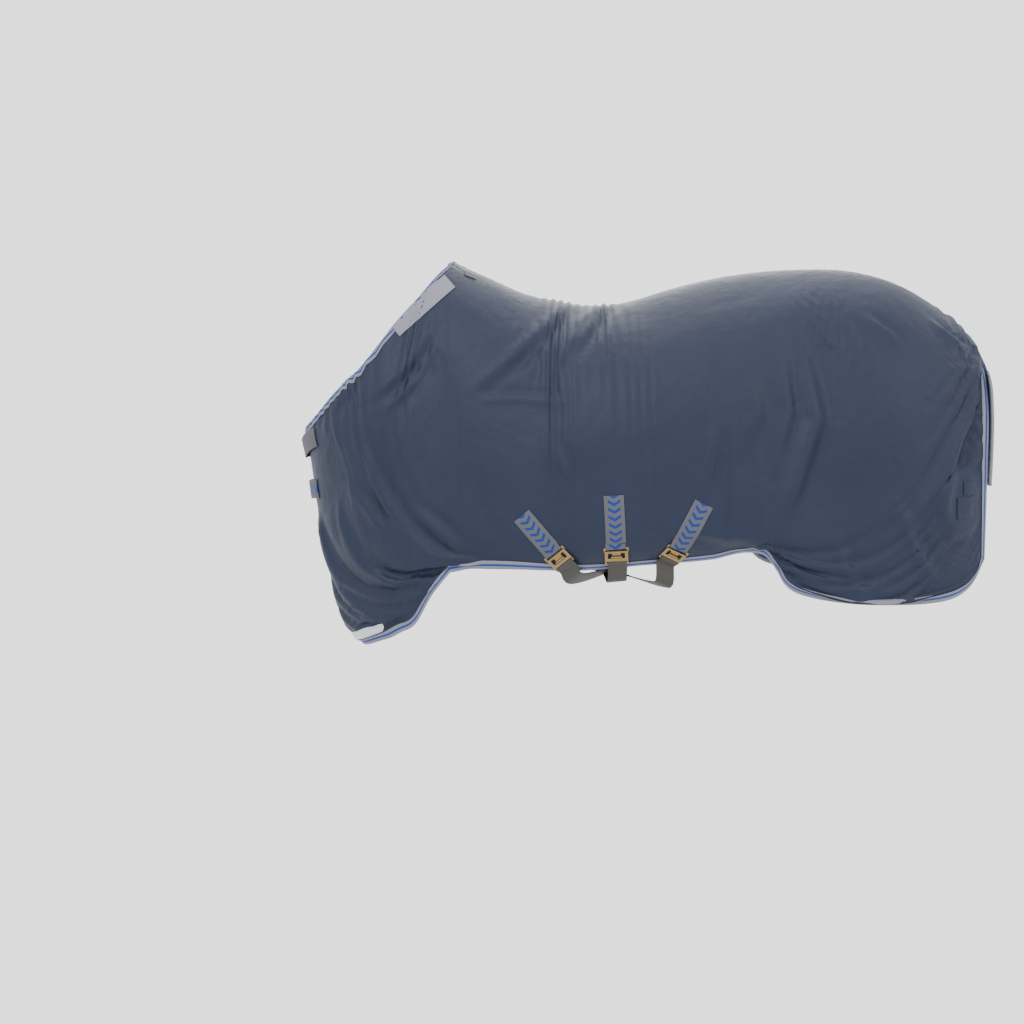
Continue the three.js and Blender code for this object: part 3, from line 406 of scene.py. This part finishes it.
off_folds = [([(x + 40, z - 25) for x, z in line], width, height) for line, width, height in near_folds]
places = {}
for label, base, result, folds, sign in (
    ("near", near_base, simulated[0], near_folds, -1),
    ("off", off_base, simulated[1], off_folds, 1),
):
    points = finer(clamp_to(base, result), fine)
    normal = normals_of(points) * (1 if label == "near" else -1)
    points = folded(points, normal, folds, sign)
    points[-((len(body_columns) - 1) * fine + 1):, 0, 1] = 0
    places[label] = points
last_column = len(columns) - 1
fine_columns = np.interp(np.linspace(0, last_column, last_column * fine + 1), range(len(columns)), columns)
cloth_normals = {side: normals_of(p) * (1 if side == "near" else -1) for side, p in places.items()}


def lengths_along(points):
    """Distance along each row and down each column of a grid, as its weave coordinates."""
    step_a = np.linalg.norm(np.diff(points, axis=0), axis=-1).mean(1)
    step_v = np.linalg.norm(np.diff(points, axis=1), axis=-1)
    a = np.concatenate([[0], np.cumsum(step_a)])[:, None] + np.zeros(points.shape[:2])
    v = np.concatenate([np.zeros((len(points), 1)), np.cumsum(step_v, axis=1)], axis=1)
    return np.stack([a, v], -1)


def two_colours(tree, factor, first, second):
    """A colour between two sRGB hex values."""
    mixed = tree.nodes.new("ShaderNodeMix")
    mixed.data_type = "RGBA"
    tree.links.new(factor, mixed.inputs[0])
    mixed.inputs[6].default_value = colour(first)
    mixed.inputs[7].default_value = colour(second)
    return mixed.outputs[2]


def cloth_material(name, base, roughness, grid_strength):
    made, tree, shader = material(name, Roughness=roughness, Specular_IOR_Level=0.22)
    uv = node(tree, "ShaderNodeUVMap", uv_map="cloth")
    cloudy = node(tree, "ShaderNodeTexNoise", {"Vector": uv, "Scale": 5, "Detail": 3})
    tree.links.new(two_colours(tree, cloudy, *base), shader.inputs["Base Color"])
    crumple = node(tree, "ShaderNodeTexNoise", {"Vector": uv, "Scale": 22, "Detail": 5, "Roughness": 0.55})
    threads = []
    for direction in ("X", "Y"):
        threads.append(node(tree, "ShaderNodeTexWave", {"Vector": uv, "Scale": 52, "Distortion": 0},
                            bands_direction=direction))
    grid = node(tree, "ShaderNodeMath", {0: threads[0], 1: threads[1]}, operation="MAXIMUM")
    grid = node(tree, "ShaderNodeMath", {0: grid, 1: 12}, operation="POWER")
    normal = node(tree, "ShaderNodeBump", {"Height": grid, "Strength": grid_strength, "Distance": 0.0004})
    normal = node(tree, "ShaderNodeBump",
                  {"Height": crumple, "Strength": 0.35, "Distance": 0.006, "Normal": normal})
    creases = node(tree, "ShaderNodeTexNoise", {"Vector": uv, "Scale": 6, "Detail": 3, "Distortion": 0.5})
    normal = node(tree, "ShaderNodeBump",
                  {"Height": creases, "Strength": 0.4, "Distance": 0.02, "Normal": normal})
    tree.links.new(normal, shader.inputs["Normal"])
    return made


navy = cloth_material("coated navy nylon", ("#171f34", "#121929"), 0.5, 0.35)
lining_cloth = cloth_material("smooth nylon lining", ("#161b2b", "#121623"), 0.5, 0.15)


def bend_with_front(piece):
    """The piece's placement, baked into its mesh; it is not bent with the front."""
    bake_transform(piece)


for side in ("near", "off"):
    points = places[side]
    shell = mesh_object(side + "_shell", points, grid_faces(*points.shape[:2], flip=side == "off"),
                        lengths_along(points))
    shell.data.materials.append(navy)
    nodes = ["outer_shell", "near_front_shell"] if side == "near" else ["off_front_shell"]
    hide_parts(*nodes)
    bend_with_front(shell)

    # The lining hangs just inside the shell, sewn to it round the edges.
    inside = points - cloth_normals[side] * 0.0034
    lining = mesh_object(side + "_lining", inside, grid_faces(*points.shape[:2], flip=side == "near"),
                         lengths_along(points))
    lining.data.materials.append(lining_cloth)
    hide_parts(*(["lining", "near_front_lining"] if side == "near" else ["off_front_lining"]))
    bend_with_front(lining)


# ---- Edge tape ----
# Woven grey tape with a blue stripe, folded over every edge of the rug and sewn through both legs. The
# neckline, the chest edge, the hem and the rear edge of each half are one run, mitred at the corners.
tape_width, cloth_depth = 0.022, 0.0042


def tape_material():
    made, tree, shader = material("woven edge tape", Roughness=0.75, Specular_IOR_Level=0.22)
    uv = node(tree, "ShaderNodeUVMap", uv_map="cloth")
    split = tree.nodes.new("ShaderNodeSeparateXYZ")
    tree.links.new(uv, split.inputs[0])
    middle = tape_width * 0.45
    off_middle = node(tree, "ShaderNodeMath", {0: split.outputs[1], 1: middle}, operation="SUBTRACT")
    off_middle = node(tree, "ShaderNodeMath", {0: off_middle}, operation="ABSOLUTE")
    stripe = node(tree, "ShaderNodeMath", {0: off_middle, 1: 0.0032}, operation="LESS_THAN")
    tree.links.new(two_colours(tree, stripe, "#6a6b72", "#16317a"), shader.inputs["Base Color"])
    ribs = node(tree, "ShaderNodeTexWave", {"Vector": uv, "Scale": 160, "Distortion": 0}, bands_direction="X")
    tree.links.new(node(tree, "ShaderNodeBump", {"Height": ribs, "Strength": 0.4, "Distance": 0.0004}),
                   shader.inputs["Normal"])
    return made


edge_tape = tape_material()


def column_number(a):
    return np.interp(a, fine_columns, range(len(fine_columns)))


def inward(key, kind, at, insets, lifts):
    """Places at an inset from one edge of a cloth, lifted off it, for numbers along the edge."""
    lines = [{"neck": g, "hem": g[:, ::-1], "front": g.transpose(1, 0, 2),
              "rear": g[::-1].transpose(1, 0, 2)}[kind] for g in (places[key], cloth_normals[key])]
    low = np.clip(at.astype(int), 0, len(lines[0]) - 2)
    share = (at - low)[:, None, None]
    line, normal = [mix(g[low, :24], g[low + 1, :24], share) for g in lines]
    result = np.empty((len(at), 3))
    for k, (inset, lift) in enumerate(zip(insets, lifts)):
        inside = np.concatenate([[0], np.cumsum(np.linalg.norm(np.diff(line[k], axis=0), axis=-1))])
        here, out, ahead = [np.array([np.interp(d, inside, g[k][:, n]) for n in range(3)])
                            for g, d in ((line, max(inset, 0)), (normal, max(inset, 0)), (line, 0.01))]
        step = ahead - line[k][0]
        result[k] = here + out / np.linalg.norm(out) * lift + min(inset, 0) * step / np.linalg.norm(step)
    return result


def tape_run(name, key, edges):
    """Tape round a run of edges, each (kind, from, to, mitre at start, mitre at end) in grid numbers."""
    legs = np.linspace(tape_width, 0, 5)
    profile = [(d, 0.0012, d) for d in legs] + [
        (-0.0016, 0.0006, 0), (-0.0023, -cloth_depth / 2, 0), (-0.0016, -cloth_depth + 0.0002, 0)]
    profile += [(d, -cloth_depth - 0.0009, d) for d in legs[::-1]]
    points, faces, coordinates, first = [], [], [], 0
    for kind, start, end, mitre_start, mitre_end in edges:
        at = np.linspace(start, end, int(abs(end - start)) + 1)
        rail = inward(key, kind, at, 0 * at, 0 * at)
        along = np.concatenate([[0], np.cumsum(np.linalg.norm(np.diff(rail, axis=0), axis=-1))])
        loops = []
        for inset, lift, _ in profile:
            low, high = max(inset, 0) * mitre_start, along[-1] - max(inset, 0) * mitre_end
            here = np.interp(np.clip(along, low, high), along, at)
            loops.append(inward(key, kind, here, np.full(len(at), inset), np.full(len(at), lift)))
        faces.append(grid_faces(len(at), len(profile), key == "off", first))
        points.append(np.stack(loops, 1).reshape(-1, 3))
        coordinates.append(np.stack([np.repeat(along[:, None], len(profile), 1),
                                     np.repeat([[p[2] for p in profile]], len(at), 0)], -1).reshape(-1, 2))
        first += len(points[-1])
    tape = mesh_object(name, np.concatenate(points), np.concatenate(faces), np.concatenate(coordinates))
    tape.data.materials.append(edge_tape)
    thick = tape.modifiers.new("thickness", "SOLIDIFY")
    thick.thickness, thick.offset = 0.0008, 0
    return tape


for side in ("near", "off"):
    last_i, last_j = places[side].shape[0] - 1, places[side].shape[1] - 1
    withers = float(column_number(0))
    tape = tape_run(side + "_edge_tape", side, [
        ("neck", withers, 0, 0, 1), ("front", 0, last_j, 1, 1),
        ("hem", 0, last_i, 1, 1), ("rear", last_j, 0, 1, 0)])
    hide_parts("neck_binding", "hem_binding", side + "_front_binding")
    bend_with_front(tape)


# ---- Tail flap ----
# A panel of the same cloth, sewn on over the dock and hanging behind the rear edge, with tape round its free
# edges.
rear = section(1.0)
rear_x, flap_drop, flap_bulge = neck_column_x + body_length, 0.352, 0.016


def on_back(x, y, lift):
    """A place on the back of the draped rug."""
    top, wide_z, wide = section((x - neck_column_x) / body_length)[:3]
    return [x, y, lift + wide_z + (top - wide_z) * math.sqrt(1 - (y / wide) ** 2)]


def flap_place(r, s):
    bulge = flap_bulge * (1 - s * s)
    return [
        lambda: on_back(rear_x - 0.056, s * 0.09, 0.003),
        lambda: on_back(rear_x - 0.024, s * 0.12, 0.0055),
        lambda: on_back(rear_x, s * 0.136, 0.0045),
        lambda: [rear_x + 0.008 + bulge * 0.6, s * 0.174, rear[0] - 0.055 - 0.035 * s * s],
        lambda: [rear_x + 0.01 + bulge, s * 0.192, rear[0] - 0.17],
        lambda: [rear_x + 0.01 + bulge, s * 0.192, rear[0] - 0.26],
        lambda: [rear_x + 0.008 + bulge, s * 0.192, rear[0] - flap_drop],
    ][r]()


coarse = np.array([[flap_place(r, s) for r in range(7)] for s in np.linspace(-1, 1, 13)])
flap_points = finer(coarse, 6)
across_flap = np.linspace(-1, 1, flap_points.shape[0])[:, None]
down_flap = np.linspace(0, 1, flap_points.shape[1])[None]
flap_points[..., 0] += 0.0035 * np.sin(7.5 * across_flap + 1.2 + 2 * down_flap) * smooth(down_flap, 0.35, 1)
places["flap"], cloth_normals["flap"] = flap_points, normals_of(flap_points)


def bend_with_flap(piece):
    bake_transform(piece)


flap = mesh_object("flap_cloth", flap_points, grid_faces(*flap_points.shape[:2]), lengths_along(flap_points))
flap.data.materials.append(navy)
thick = flap.modifiers.new("thickness", "SOLIDIFY")
thick.thickness, thick.offset = 0.0022, -1
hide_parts("tail_flap")
bend_with_flap(flap)
last_i, last_j = flap_points.shape[0] - 1, flap_points.shape[1] - 1
flap_tape = tape_run("flap_tape", "flap", [
    ("front", 14, last_j, 0, 1), ("hem", 0, last_i, 1, 1), ("rear", last_j, 14, 1, 0)])
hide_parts("tail_flap_binding")
bend_with_flap(flap_tape)


# ---- Neck label, hood tabs and reflective strips ----
# A satin label over the near side of the neckline, a small webbing tab each side for a hood, and a reflective
# strip above the lowest hem of each front. All are sewn flat to the shell.
def webbing_material(name, plain, marked, pattern):
    """Ribbed webbing; pattern repeats blocks along the middle of it."""
    made, tree, shader = material(name, Roughness=0.7, Specular_IOR_Level=0.22)
    uv = node(tree, "ShaderNodeUVMap", uv_map="cloth")
    split = tree.nodes.new("ShaderNodeSeparateXYZ")
    tree.links.new(uv, split.inputs[0])
    off_middle = node(tree, "ShaderNodeMath", {0: split.outputs[1]}, operation="ABSOLUTE")
    slant = node(tree, "ShaderNodeMath", {0: off_middle, 1: 0.6, 2: split.outputs[0]},
                 operation="MULTIPLY_ADD")
    step = node(tree, "ShaderNodeMath", {0: slant, 1: 0.019}, operation="MODULO")
    bar = node(tree, "ShaderNodeMath", {0: step, 1: 0.008}, operation="LESS_THAN")
    inside = node(tree, "ShaderNodeMath", {0: off_middle, 1: 0.0155}, operation="LESS_THAN")
    shown = node(tree, "ShaderNodeMath", {0: bar, 1: inside}, operation="MULTIPLY")
    shown = node(tree, "ShaderNodeMath", {0: shown, 1: pattern}, operation="MULTIPLY")
    tree.links.new(two_colours(tree, shown, plain, marked), shader.inputs["Base Color"])
    ribs = node(tree, "ShaderNodeTexWave", {"Vector": uv, "Scale": 120, "Distortion": 0}, bands_direction="X")
    cross = node(tree, "ShaderNodeTexWave", {"Vector": uv, "Scale": 60, "Distortion": 0}, bands_direction="Y")
    height = node(tree, "ShaderNodeMath", {0: ribs, 1: cross}, operation="MULTIPLY")
    tree.links.new(node(tree, "ShaderNodeBump", {"Height": height, "Strength": 0.5, "Distance": 0.0006}),
                   shader.inputs["Normal"])
    return made


grey_webbing = webbing_material("grey webbing", "#47484d", "#47484d", 0)
marked_webbing = webbing_material("grey webbing with blue marks", "#47484d", "#102868", 1)
dark_webbing = webbing_material("dark warm grey webbing", "#393733", "#393733", 0)
label_cloth = webbing_material("satin label", "#6e6f78", "#6e6f78", 0)
reflective = material("reflective tape", Base_Color=colour("#a5adaf"), Roughness=0.3, Sheen_Weight=0.1)[0]


def on_cloth(side, i, j, lift):
    """Places on the cloth at fractional grid numbers, lifted along its normal."""
    grid, normal = places[side], cloth_normals[side]
    i, j = np.broadcast_arrays(np.asarray(i, float), np.asarray(j, float))
    low_i = np.clip(i.astype(int), 0, grid.shape[0] - 2)
    low_j = np.clip(j.astype(int), 0, grid.shape[1] - 2)
    s, t = (i - low_i)[..., None], (j - low_j)[..., None]

    def between(values):
        return mix(mix(values[low_i, low_j], values[low_i + 1, low_j], s),
                   mix(values[low_i, low_j + 1], values[low_i + 1, low_j + 1], s), t)

    direction = between(normal)
    direction /= np.linalg.norm(direction, axis=-1, keepdims=True)
    return between(grid) + direction * np.asarray(lift, float)[..., None], direction


def row_at(side, i, distance, from_hem):
    """The row at a distance from the neckline or the hem along a column."""
    k = int(round(float(i)))
    down = np.concatenate([[0], np.cumsum(np.linalg.norm(np.diff(places[side][k], axis=0), axis=-1))])
    return np.interp(down[-1] - distance if from_hem else distance, down, range(len(down)))


def find(side, x, z):
    """Grid numbers of the place on the side of the cloth at a length and a height."""
    grid = places[side]
    from_row = grid.shape[1] // 3 if z < -0.4 else 0
    apart = (grid[:, from_row:, 0] - x) ** 2 + (grid[:, from_row:, 2] - z) ** 2
    i, j = np.unravel_index(np.argmin(apart), apart.shape)
    i, j = float(i), float(j + from_row)
    for _ in range(6):
        here, a, b = [on_cloth(side, i + di, j + dj, 0)[0] for di, dj in ((0, 0), (0.5, 0), (0, 0.5))]
        slope = np.array([(a - here)[[0, 2]], (b - here)[[0, 2]]]).T / 0.5
        step = np.linalg.solve(slope + 1e-9 * np.eye(2), np.array([x, z]) - here[[0, 2]])
        i = float(np.clip(i + np.clip(step[0], -2, 2), 0, grid.shape[0] - 1))
        j = float(np.clip(j + np.clip(step[1], -2, 2), 0, grid.shape[1] - 1))
    return i, j


def slab(name, outer, inner, uv, made_of):
    """A closed thin piece between an outer and an inner grid of places."""
    rows, columns = outer.shape[:2]
    count = rows * columns
    k = np.arange(count).reshape(rows, columns)
    rim = np.concatenate([k[0, :-1], k[:-1, -1], k[-1, :0:-1], k[:0:-1, 0]])
    faces = np.concatenate([grid_faces(rows, columns), grid_faces(rows, columns, True, count),
                            np.stack([np.roll(rim, -1), rim, rim + count, np.roll(rim, -1) + count], -1)])
    volume = np.einsum("ij,ij->i", outer.reshape(-1, 3) - inner.reshape(-1, 3),
                       np.cross(np.gradient(outer, axis=1), np.gradient(outer, axis=0)).reshape(-1, 3)).sum()
    faces = faces if volume > 0 else faces[:, ::-1]
    made = mesh_object(name, np.concatenate([outer.reshape(-1, 3), inner.reshape(-1, 3)]), faces,
                       np.concatenate([uv.reshape(-1, 2)] * 2))
    made.data.materials.append(made_of)
    bevel = made.modifiers.new("edges", "BEVEL")
    bevel.width, bevel.segments, bevel.limit_method, bevel.angle_limit = 0.0004, 2, "ANGLE", math.radians(50)
    return made


def strip(name, centres, thick, made_of, nodes):
    """A flat woven piece of even thickness about a grid of places: rows along it, then across it."""
    normal = np.cross(np.gradient(centres, axis=0), np.gradient(centres, axis=1))
    normal /= np.linalg.norm(normal, axis=-1, keepdims=True)
    along = np.concatenate([[0], np.cumsum(np.linalg.norm(np.diff(centres, axis=0), axis=-1).mean(1))])
    width = np.linalg.norm(np.diff(centres, axis=1), axis=-1).mean(0)
    across = np.concatenate([[0], np.cumsum(width)]) - width.sum() / 2
    uv = np.stack(np.meshgrid(along, across, indexing="ij"), -1)
    piece = slab(name, centres + normal * thick / 2, centres - normal * thick / 2, uv, made_of)
    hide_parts(*nodes)
    return piece


def on_side(key, top, bottom, width, lift, shares, across=7):
    """A grid on the side of a cloth between two places, each (x, z), of a true width."""
    top, bottom = np.array(top, float), np.array(bottom, float)
    unit = (bottom - top) / np.linalg.norm(bottom - top)
    wide = width
    for _ in range(2):
        turn = np.array([-unit[1], unit[0]]) * wide
        numbers = np.array([[find(key, *(mix(top, bottom, share) + turn * t))
                             for t in np.linspace(-0.5, 0.5, across)] for share in shares])
        grid = on_cloth(key, numbers[..., 0], numbers[..., 1], lift + 0 * numbers[..., 0])[0]
        wide *= width / np.linalg.norm(np.diff(grid, axis=1), axis=-1).sum(1).mean()
    return grid


def between_columns(side, columns, distances, from_hem, lift):
    """A grid on the cloth between two columns, at distances from the neckline or the hem."""
    i = column_number(np.linspace(*columns, 16))
    rows = np.array([[row_at(side, k, d, from_hem) for d in np.linspace(*distances, 7)] for k in i])
    return on_cloth(side, i[:, None] + 0 * rows, rows, 0 * rows + lift)[0]


label_grid = on_side("near", (-0.1, -0.006), (-0.238, -0.129), 0.05, 0.0016, np.linspace(0, 1, 20))
label = strip("neck_label_cloth", label_grid, 0.0014, label_cloth, ["neck_label"])
bend_with_front(label)
for side in ("near", "off"):
    grid = between_columns(side, (0.34, 0.66), (0.058, 0.086), False, 0.0016)
    tab = strip(side + "_hood_tab", grid, 0.0016, grey_webbing, ["hood_tab_" + side])
    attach(tab, "rug")
    grid = between_columns(side, (-6.4, -9.2), (0.05, 0.026), True, 0.0012)
    shine = strip(side + "_reflector", grid, 0.0008, reflective,
                  [side + "_reflective_strip"])
    bend_with_front(shine)


# ---- Metal fittings ----
# Cast and stamped fittings in antique brass: T-hooks, slotted plates, sliders, chest clips and leg rings.
brass, brass_tree, brass_shader = material("antique brass", Metallic=1, Roughness=0.36)
wear = node(brass_tree, "ShaderNodeTexNoise", {"Scale": 90, "Detail": 3})
brass_tree.links.new(two_colours(brass_tree, wear, "#9a8158", "#6b5839"), brass_shader.inputs["Base Color"])
# Flat-walled castings show their edges rounded by 0.6 mm.
edge_round, same_place = 0.0006, 0.00002
fitting_names = ("t_hook_", "slot_plate_", "strap_slider_", "chest_clip_")
for metal in [o for o in bpy.data.objects
              if o.name.startswith(fitting_names) or o.name.endswith("_leg_ring")]:
    metal.data.materials.clear()
    metal.data.materials.append(brass)
    weld = metal.modifiers.new("weld", "WELD")
    weld.merge_threshold = same_place
    bevel = metal.modifiers.new("edges", "BEVEL")
    bevel.width, bevel.segments = edge_round, 3
    bevel.limit_method, bevel.angle_limit = "ANGLE", math.radians(40)


# ---- Surcingle tabs ----
# Grey webbing with blue marks on the near side, each folded round the rail of its T-hook. Plain anchor tabs
# on the off side hold the ends of the belly straps.
web_width = 0.05


def axes_of(name, down):
    """The centre of a flat fitting and its directions: e nearest to down, n outward and w across."""
    piece = bpy.data.objects[name]
    points = np.array([piece.matrix_world @ v.co for v in piece.data.vertices])
    middle = points.mean(0)
    n, e, w = np.linalg.eigh((points - middle).T @ (points - middle))[1].T
    spans = [(points @ d) for d in (e, n, w)]
    middle = sum(d * (k.min() + k.max()) / 2 for d, k in zip((e, n, w), spans))
    e = e * np.sign(e @ down)
    n = n * np.sign(n @ (middle * [0.2, 1, 0]) if abs(middle[1]) > 0.15 else -n[0])
    return middle, e, n, np.cross(e, n)


def across_frame(path, middle, e, n, w, width, across=7):
    """Rows across a fitting's own directions for a path of (e, n) in millimetres from its middle."""
    t = np.linspace(-0.5, 0.5, across)
    return np.array([[middle + e * a / 1000 + n * b / 1000 + w * k * width for k in t] for a, b in path])


# Each with the near tab's top and bottom and the off tab's top and bottom, as (x, z).
surcingles = [
    ("front", (0.082, -0.586), (0.160, -0.676), (0.596, -0.54), (0.556, -0.648)),
    ("middle", (0.308, -0.532), (0.316, -0.662), (0.316, -0.532), (0.316, -0.662)),
    ("rear", (0.530, -0.552), (0.473, -0.665), (0.124, -0.552), (0.168, -0.662)),
]
plate_to_tab, plate_above_cloth, tab_thick, hook_room = 29, 5.9, 0.0015, 0.014
rail_wrap = [(-9, 2.6), (-4, 4.6), (0, 5.4), (3.6, 5.4), (5.1, 4.6), (5.6, 3.1), (5.1, 1.7), (3.6, 1), (-3, 1)]
for label, top, bottom, off_top, off_bottom in surcingles:
    middle, e, n, w = axes_of("slot_plate_" + label, np.array([0, 0, -1]))
    length = math.dist(top, bottom)
    upper = on_side("near", top, bottom, web_width, tab_thick, np.linspace(0, 1 - hook_room / length, 16))
    wrap = [(a - plate_to_tab, b - plate_above_cloth) for a, b in rail_wrap]
    lower = across_frame(wrap, middle, e, n, w, web_width)
    if np.linalg.norm(lower[0, 0] - upper[-1, 0]) > np.linalg.norm(lower[0, -1] - upper[-1, 0]):
        lower = lower[:, ::-1]
    centres = finer(np.concatenate([upper, lower])[:, ::2], 2)
    tab = strip("surcingle_tab_cloth_" + label, centres, tab_thick, marked_webbing,
                ["surcingle_tab_" + label])
    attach(tab, "rug")
    grid = on_side("off", off_top, off_bottom, web_width, 0.0032, np.linspace(0, 1, 16))
    anchor = strip("anchor_tab_cloth_" + label, grid, 0.0016, grey_webbing,
                   ["off_anchor_tab_" + label])
    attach(anchor, "rug")


# ---- Belly straps ----
# Three straps of dark webbing, crossing under the belly. Each is folded round the bar of its plate on the
# near side, carries a slider, and is sewn under its anchor tab on the off side.
places["off base"], cloth_normals["off base"] = off_base, -normals_of(off_base)
strap_thick, strap_clear, strap_drop, layer_step = 0.0022, 0.009, 0.024, 0.007
slider_end, slider_run = 0.228, 0.11
hem_low = -max(curve(hem_share, np.linspace(0.1, 0.484, 20))) * side_drop
hem_turn = hem_width_share[1][1] * barrel_half_width + strap_clear
# Round the plate's bar, in millimetres from the plate's middle: (e, n).
bar_wrap = [(24, -4.4), (17, -3.4), (13.5, -2.2), (12, 0), (13.5, 2), (17, 2.4), (24, 1.2), (33, -0.6)]
for level, (label, top, bottom, off_top, off_bottom) in enumerate(surcingles):
    middle, e, n, w = axes_of("slot_plate_" + label, np.array([0, 0, -1]))
    start = [middle + e * a / 1000 + n * b / 1000 for a, b in bar_wrap]
    unit = (np.array(off_bottom) - off_top) / math.dist(off_top, off_bottom)
    beside = np.array([-unit[1], unit[0]])
    origin, ahead, one, two = [
        on_cloth("off base", *find("off base", *(np.array(off_bottom) + unit * down + beside * k)), 0)[0]
        for down, k in ((0, 0), (0.012, 0), (0, -0.025), (0, 0.025))]
    off_w = (two - one) / np.linalg.norm(two - one)
    off_e = ahead - origin - off_w * ((ahead - origin) @ off_w)
    off_e /= np.linalg.norm(off_e)
    off_n = np.cross(off_e, off_w)
    off_n *= np.sign(off_n[1])
    end = [origin + off_e * a + off_n * b
           for a, b in ((0.028, 0.005), (0.014, 0.0035), (0, 0.0016), (-0.03, 0.0014))]
    low = hem_low - strap_drop - level * layer_step - 0.0012
    under = [(-hem_turn, strap_clear), (-slider_end, 0), (-0.12, 0), (0, 0), (slider_end - slider_run, 0),
             (slider_end - slider_run / 2, 0), (slider_end, 0), (hem_turn, strap_clear)]
    belly = [np.array([np.interp(y, [start[-1][1], end[0][1]], [start[-1][0], end[0][0]]), y, low + rise])
             for y, rise in under]
    path = finer(np.array(start + belly + end)[:, None], 4)[:, 0]
    tangent = np.gradient(path, axis=0)
    facing = np.array([mix(w, np.sign(off_w @ w) * off_w, smooth(p[1], -0.2, 0.2)) for p in path])
    facing -= tangent * (facing * tangent).sum(-1, keepdims=True) / (tangent * tangent).sum(-1, keepdims=True)
    facing /= np.linalg.norm(facing, axis=-1, keepdims=True)
    across = np.linspace(-0.5, 0.5, 5)[None, :, None] * (web_width - 0.002)
    grid = path[:, None] + facing[:, None] * across
    strap = strip("belly_strap_cloth_" + label, grid, strap_thick, dark_webbing,
                  ["belly_strap_" + label])
    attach(strap, "strap_" + label)


# ---- Chest straps ----
# Two webbing straps sewn to the near front, which pass its edge and hold the tongues of the clips. Short
# tabs on the off front hold the clips' housings.
def on_column(side, column_at, heights, lift):
    """Places down one column of the cloth at the given heights."""
    i = float(column_number(column_at))
    rows = np.arange(places[side].shape[1])
    column = on_cloth(side, i, rows, 0 * rows)[0]
    j = np.interp(-heights, -column[:, 2], rows)
    return on_cloth(side, i + 0 * j, j, lift + 0 * j)[0]


strap_wide, chest_thick, off_columns = web_width - 0.002, 0.0018, np.linspace(-6.9, -5.8, 10)
for label, near_z, centre_z, near_column, made_of in [
    ("upper", -0.404, -0.44, -7.6, grey_webbing), ("lower", -0.541, -0.548, -8.5, marked_webbing)]:
    middle, e, n, w = axes_of("chest_clip_tongue_" + label, np.array([0, 1, 0]))
    w = w * np.sign(w[2])
    spread = np.linspace(-0.5, 0.5, 7) * strap_wide
    grid = []
    for a in np.linspace(near_column, front_edge + 0.1, 18):
        share = (a - near_column) / (front_edge + 1 - near_column)
        lift = mix(0.0018, 0.0046, min(1, 9 * share)) + 0.009 * min(share, 1) ** 3
        grid.append(on_column("near", a, mix(near_z, centre_z, min(share, 1)) + spread, lift))
    ends = across_frame([(-22, 1.5), (-15, 0.4), (-8, 0.9), (-3, 1.6)], middle, e, n, w, strap_wide)
    centres = finer(np.concatenate([grid, ends])[:, ::2], 2)
    strap = strip("chest_strap_cloth_" + label, centres, chest_thick, made_of,
                  ["chest_strap_" + label])
    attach(strap, "near_front")
    grid = [on_column("off", a, centre_z - 0.004 + spread, chest_thick) for a in off_columns]
    tab = strip("off_chest_tab_cloth_" + label, np.array(grid), chest_thick, grey_webbing,
                ["off_chest_tab_" + label])
    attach(tab, "off_front")


# ---- Leg-strap rings ----
# Patches of the shell cloth outside, and inside a webbing loop that holds the ring. The loop's path goes
# round the ring's upper wire, in millimetres from the ring's middle: (e, n).
wire_wrap = [(-56, 4.4), (-36, 4.4), (-20, 4.4), (-14.5, 4), (-10.9, 1.8), (-10.9, -1.8), (-14.5, -3.8),
             (-20, -3.4), (-36, 0.6), (-54, 2.2)]
loop_wide, loop_thick, patch_thick = 0.026, 0.0014, 0.001
for side in ("near", "off"):
    for part, top, bottom, width in [("upper", (1.206, -0.506), (1.206, -0.54), 0.036),
                                     ("lower", (1.196, -0.546), (1.196, -0.6), 0.054)]:
        grid = on_side(side, top, bottom, width, 0.0013, np.linspace(0, 1, 7))
        patch = strip(side + "_" + part + "_patch", grid, patch_thick, navy,
                      [side + "_" + part + "_leg_patch"])
        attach(patch, "rug")
    middle, e, n, w = axes_of(side + "_leg_ring", np.array([0, 0, -1]))
    centres = finer(across_frame(wire_wrap, middle, e, n, w, loop_wide, 5), 2)
    loop = strip(side + "_ring_loop", centres, loop_thick, grey_webbing, [side + "_leg_ring_loop"])
    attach(loop, "rug")
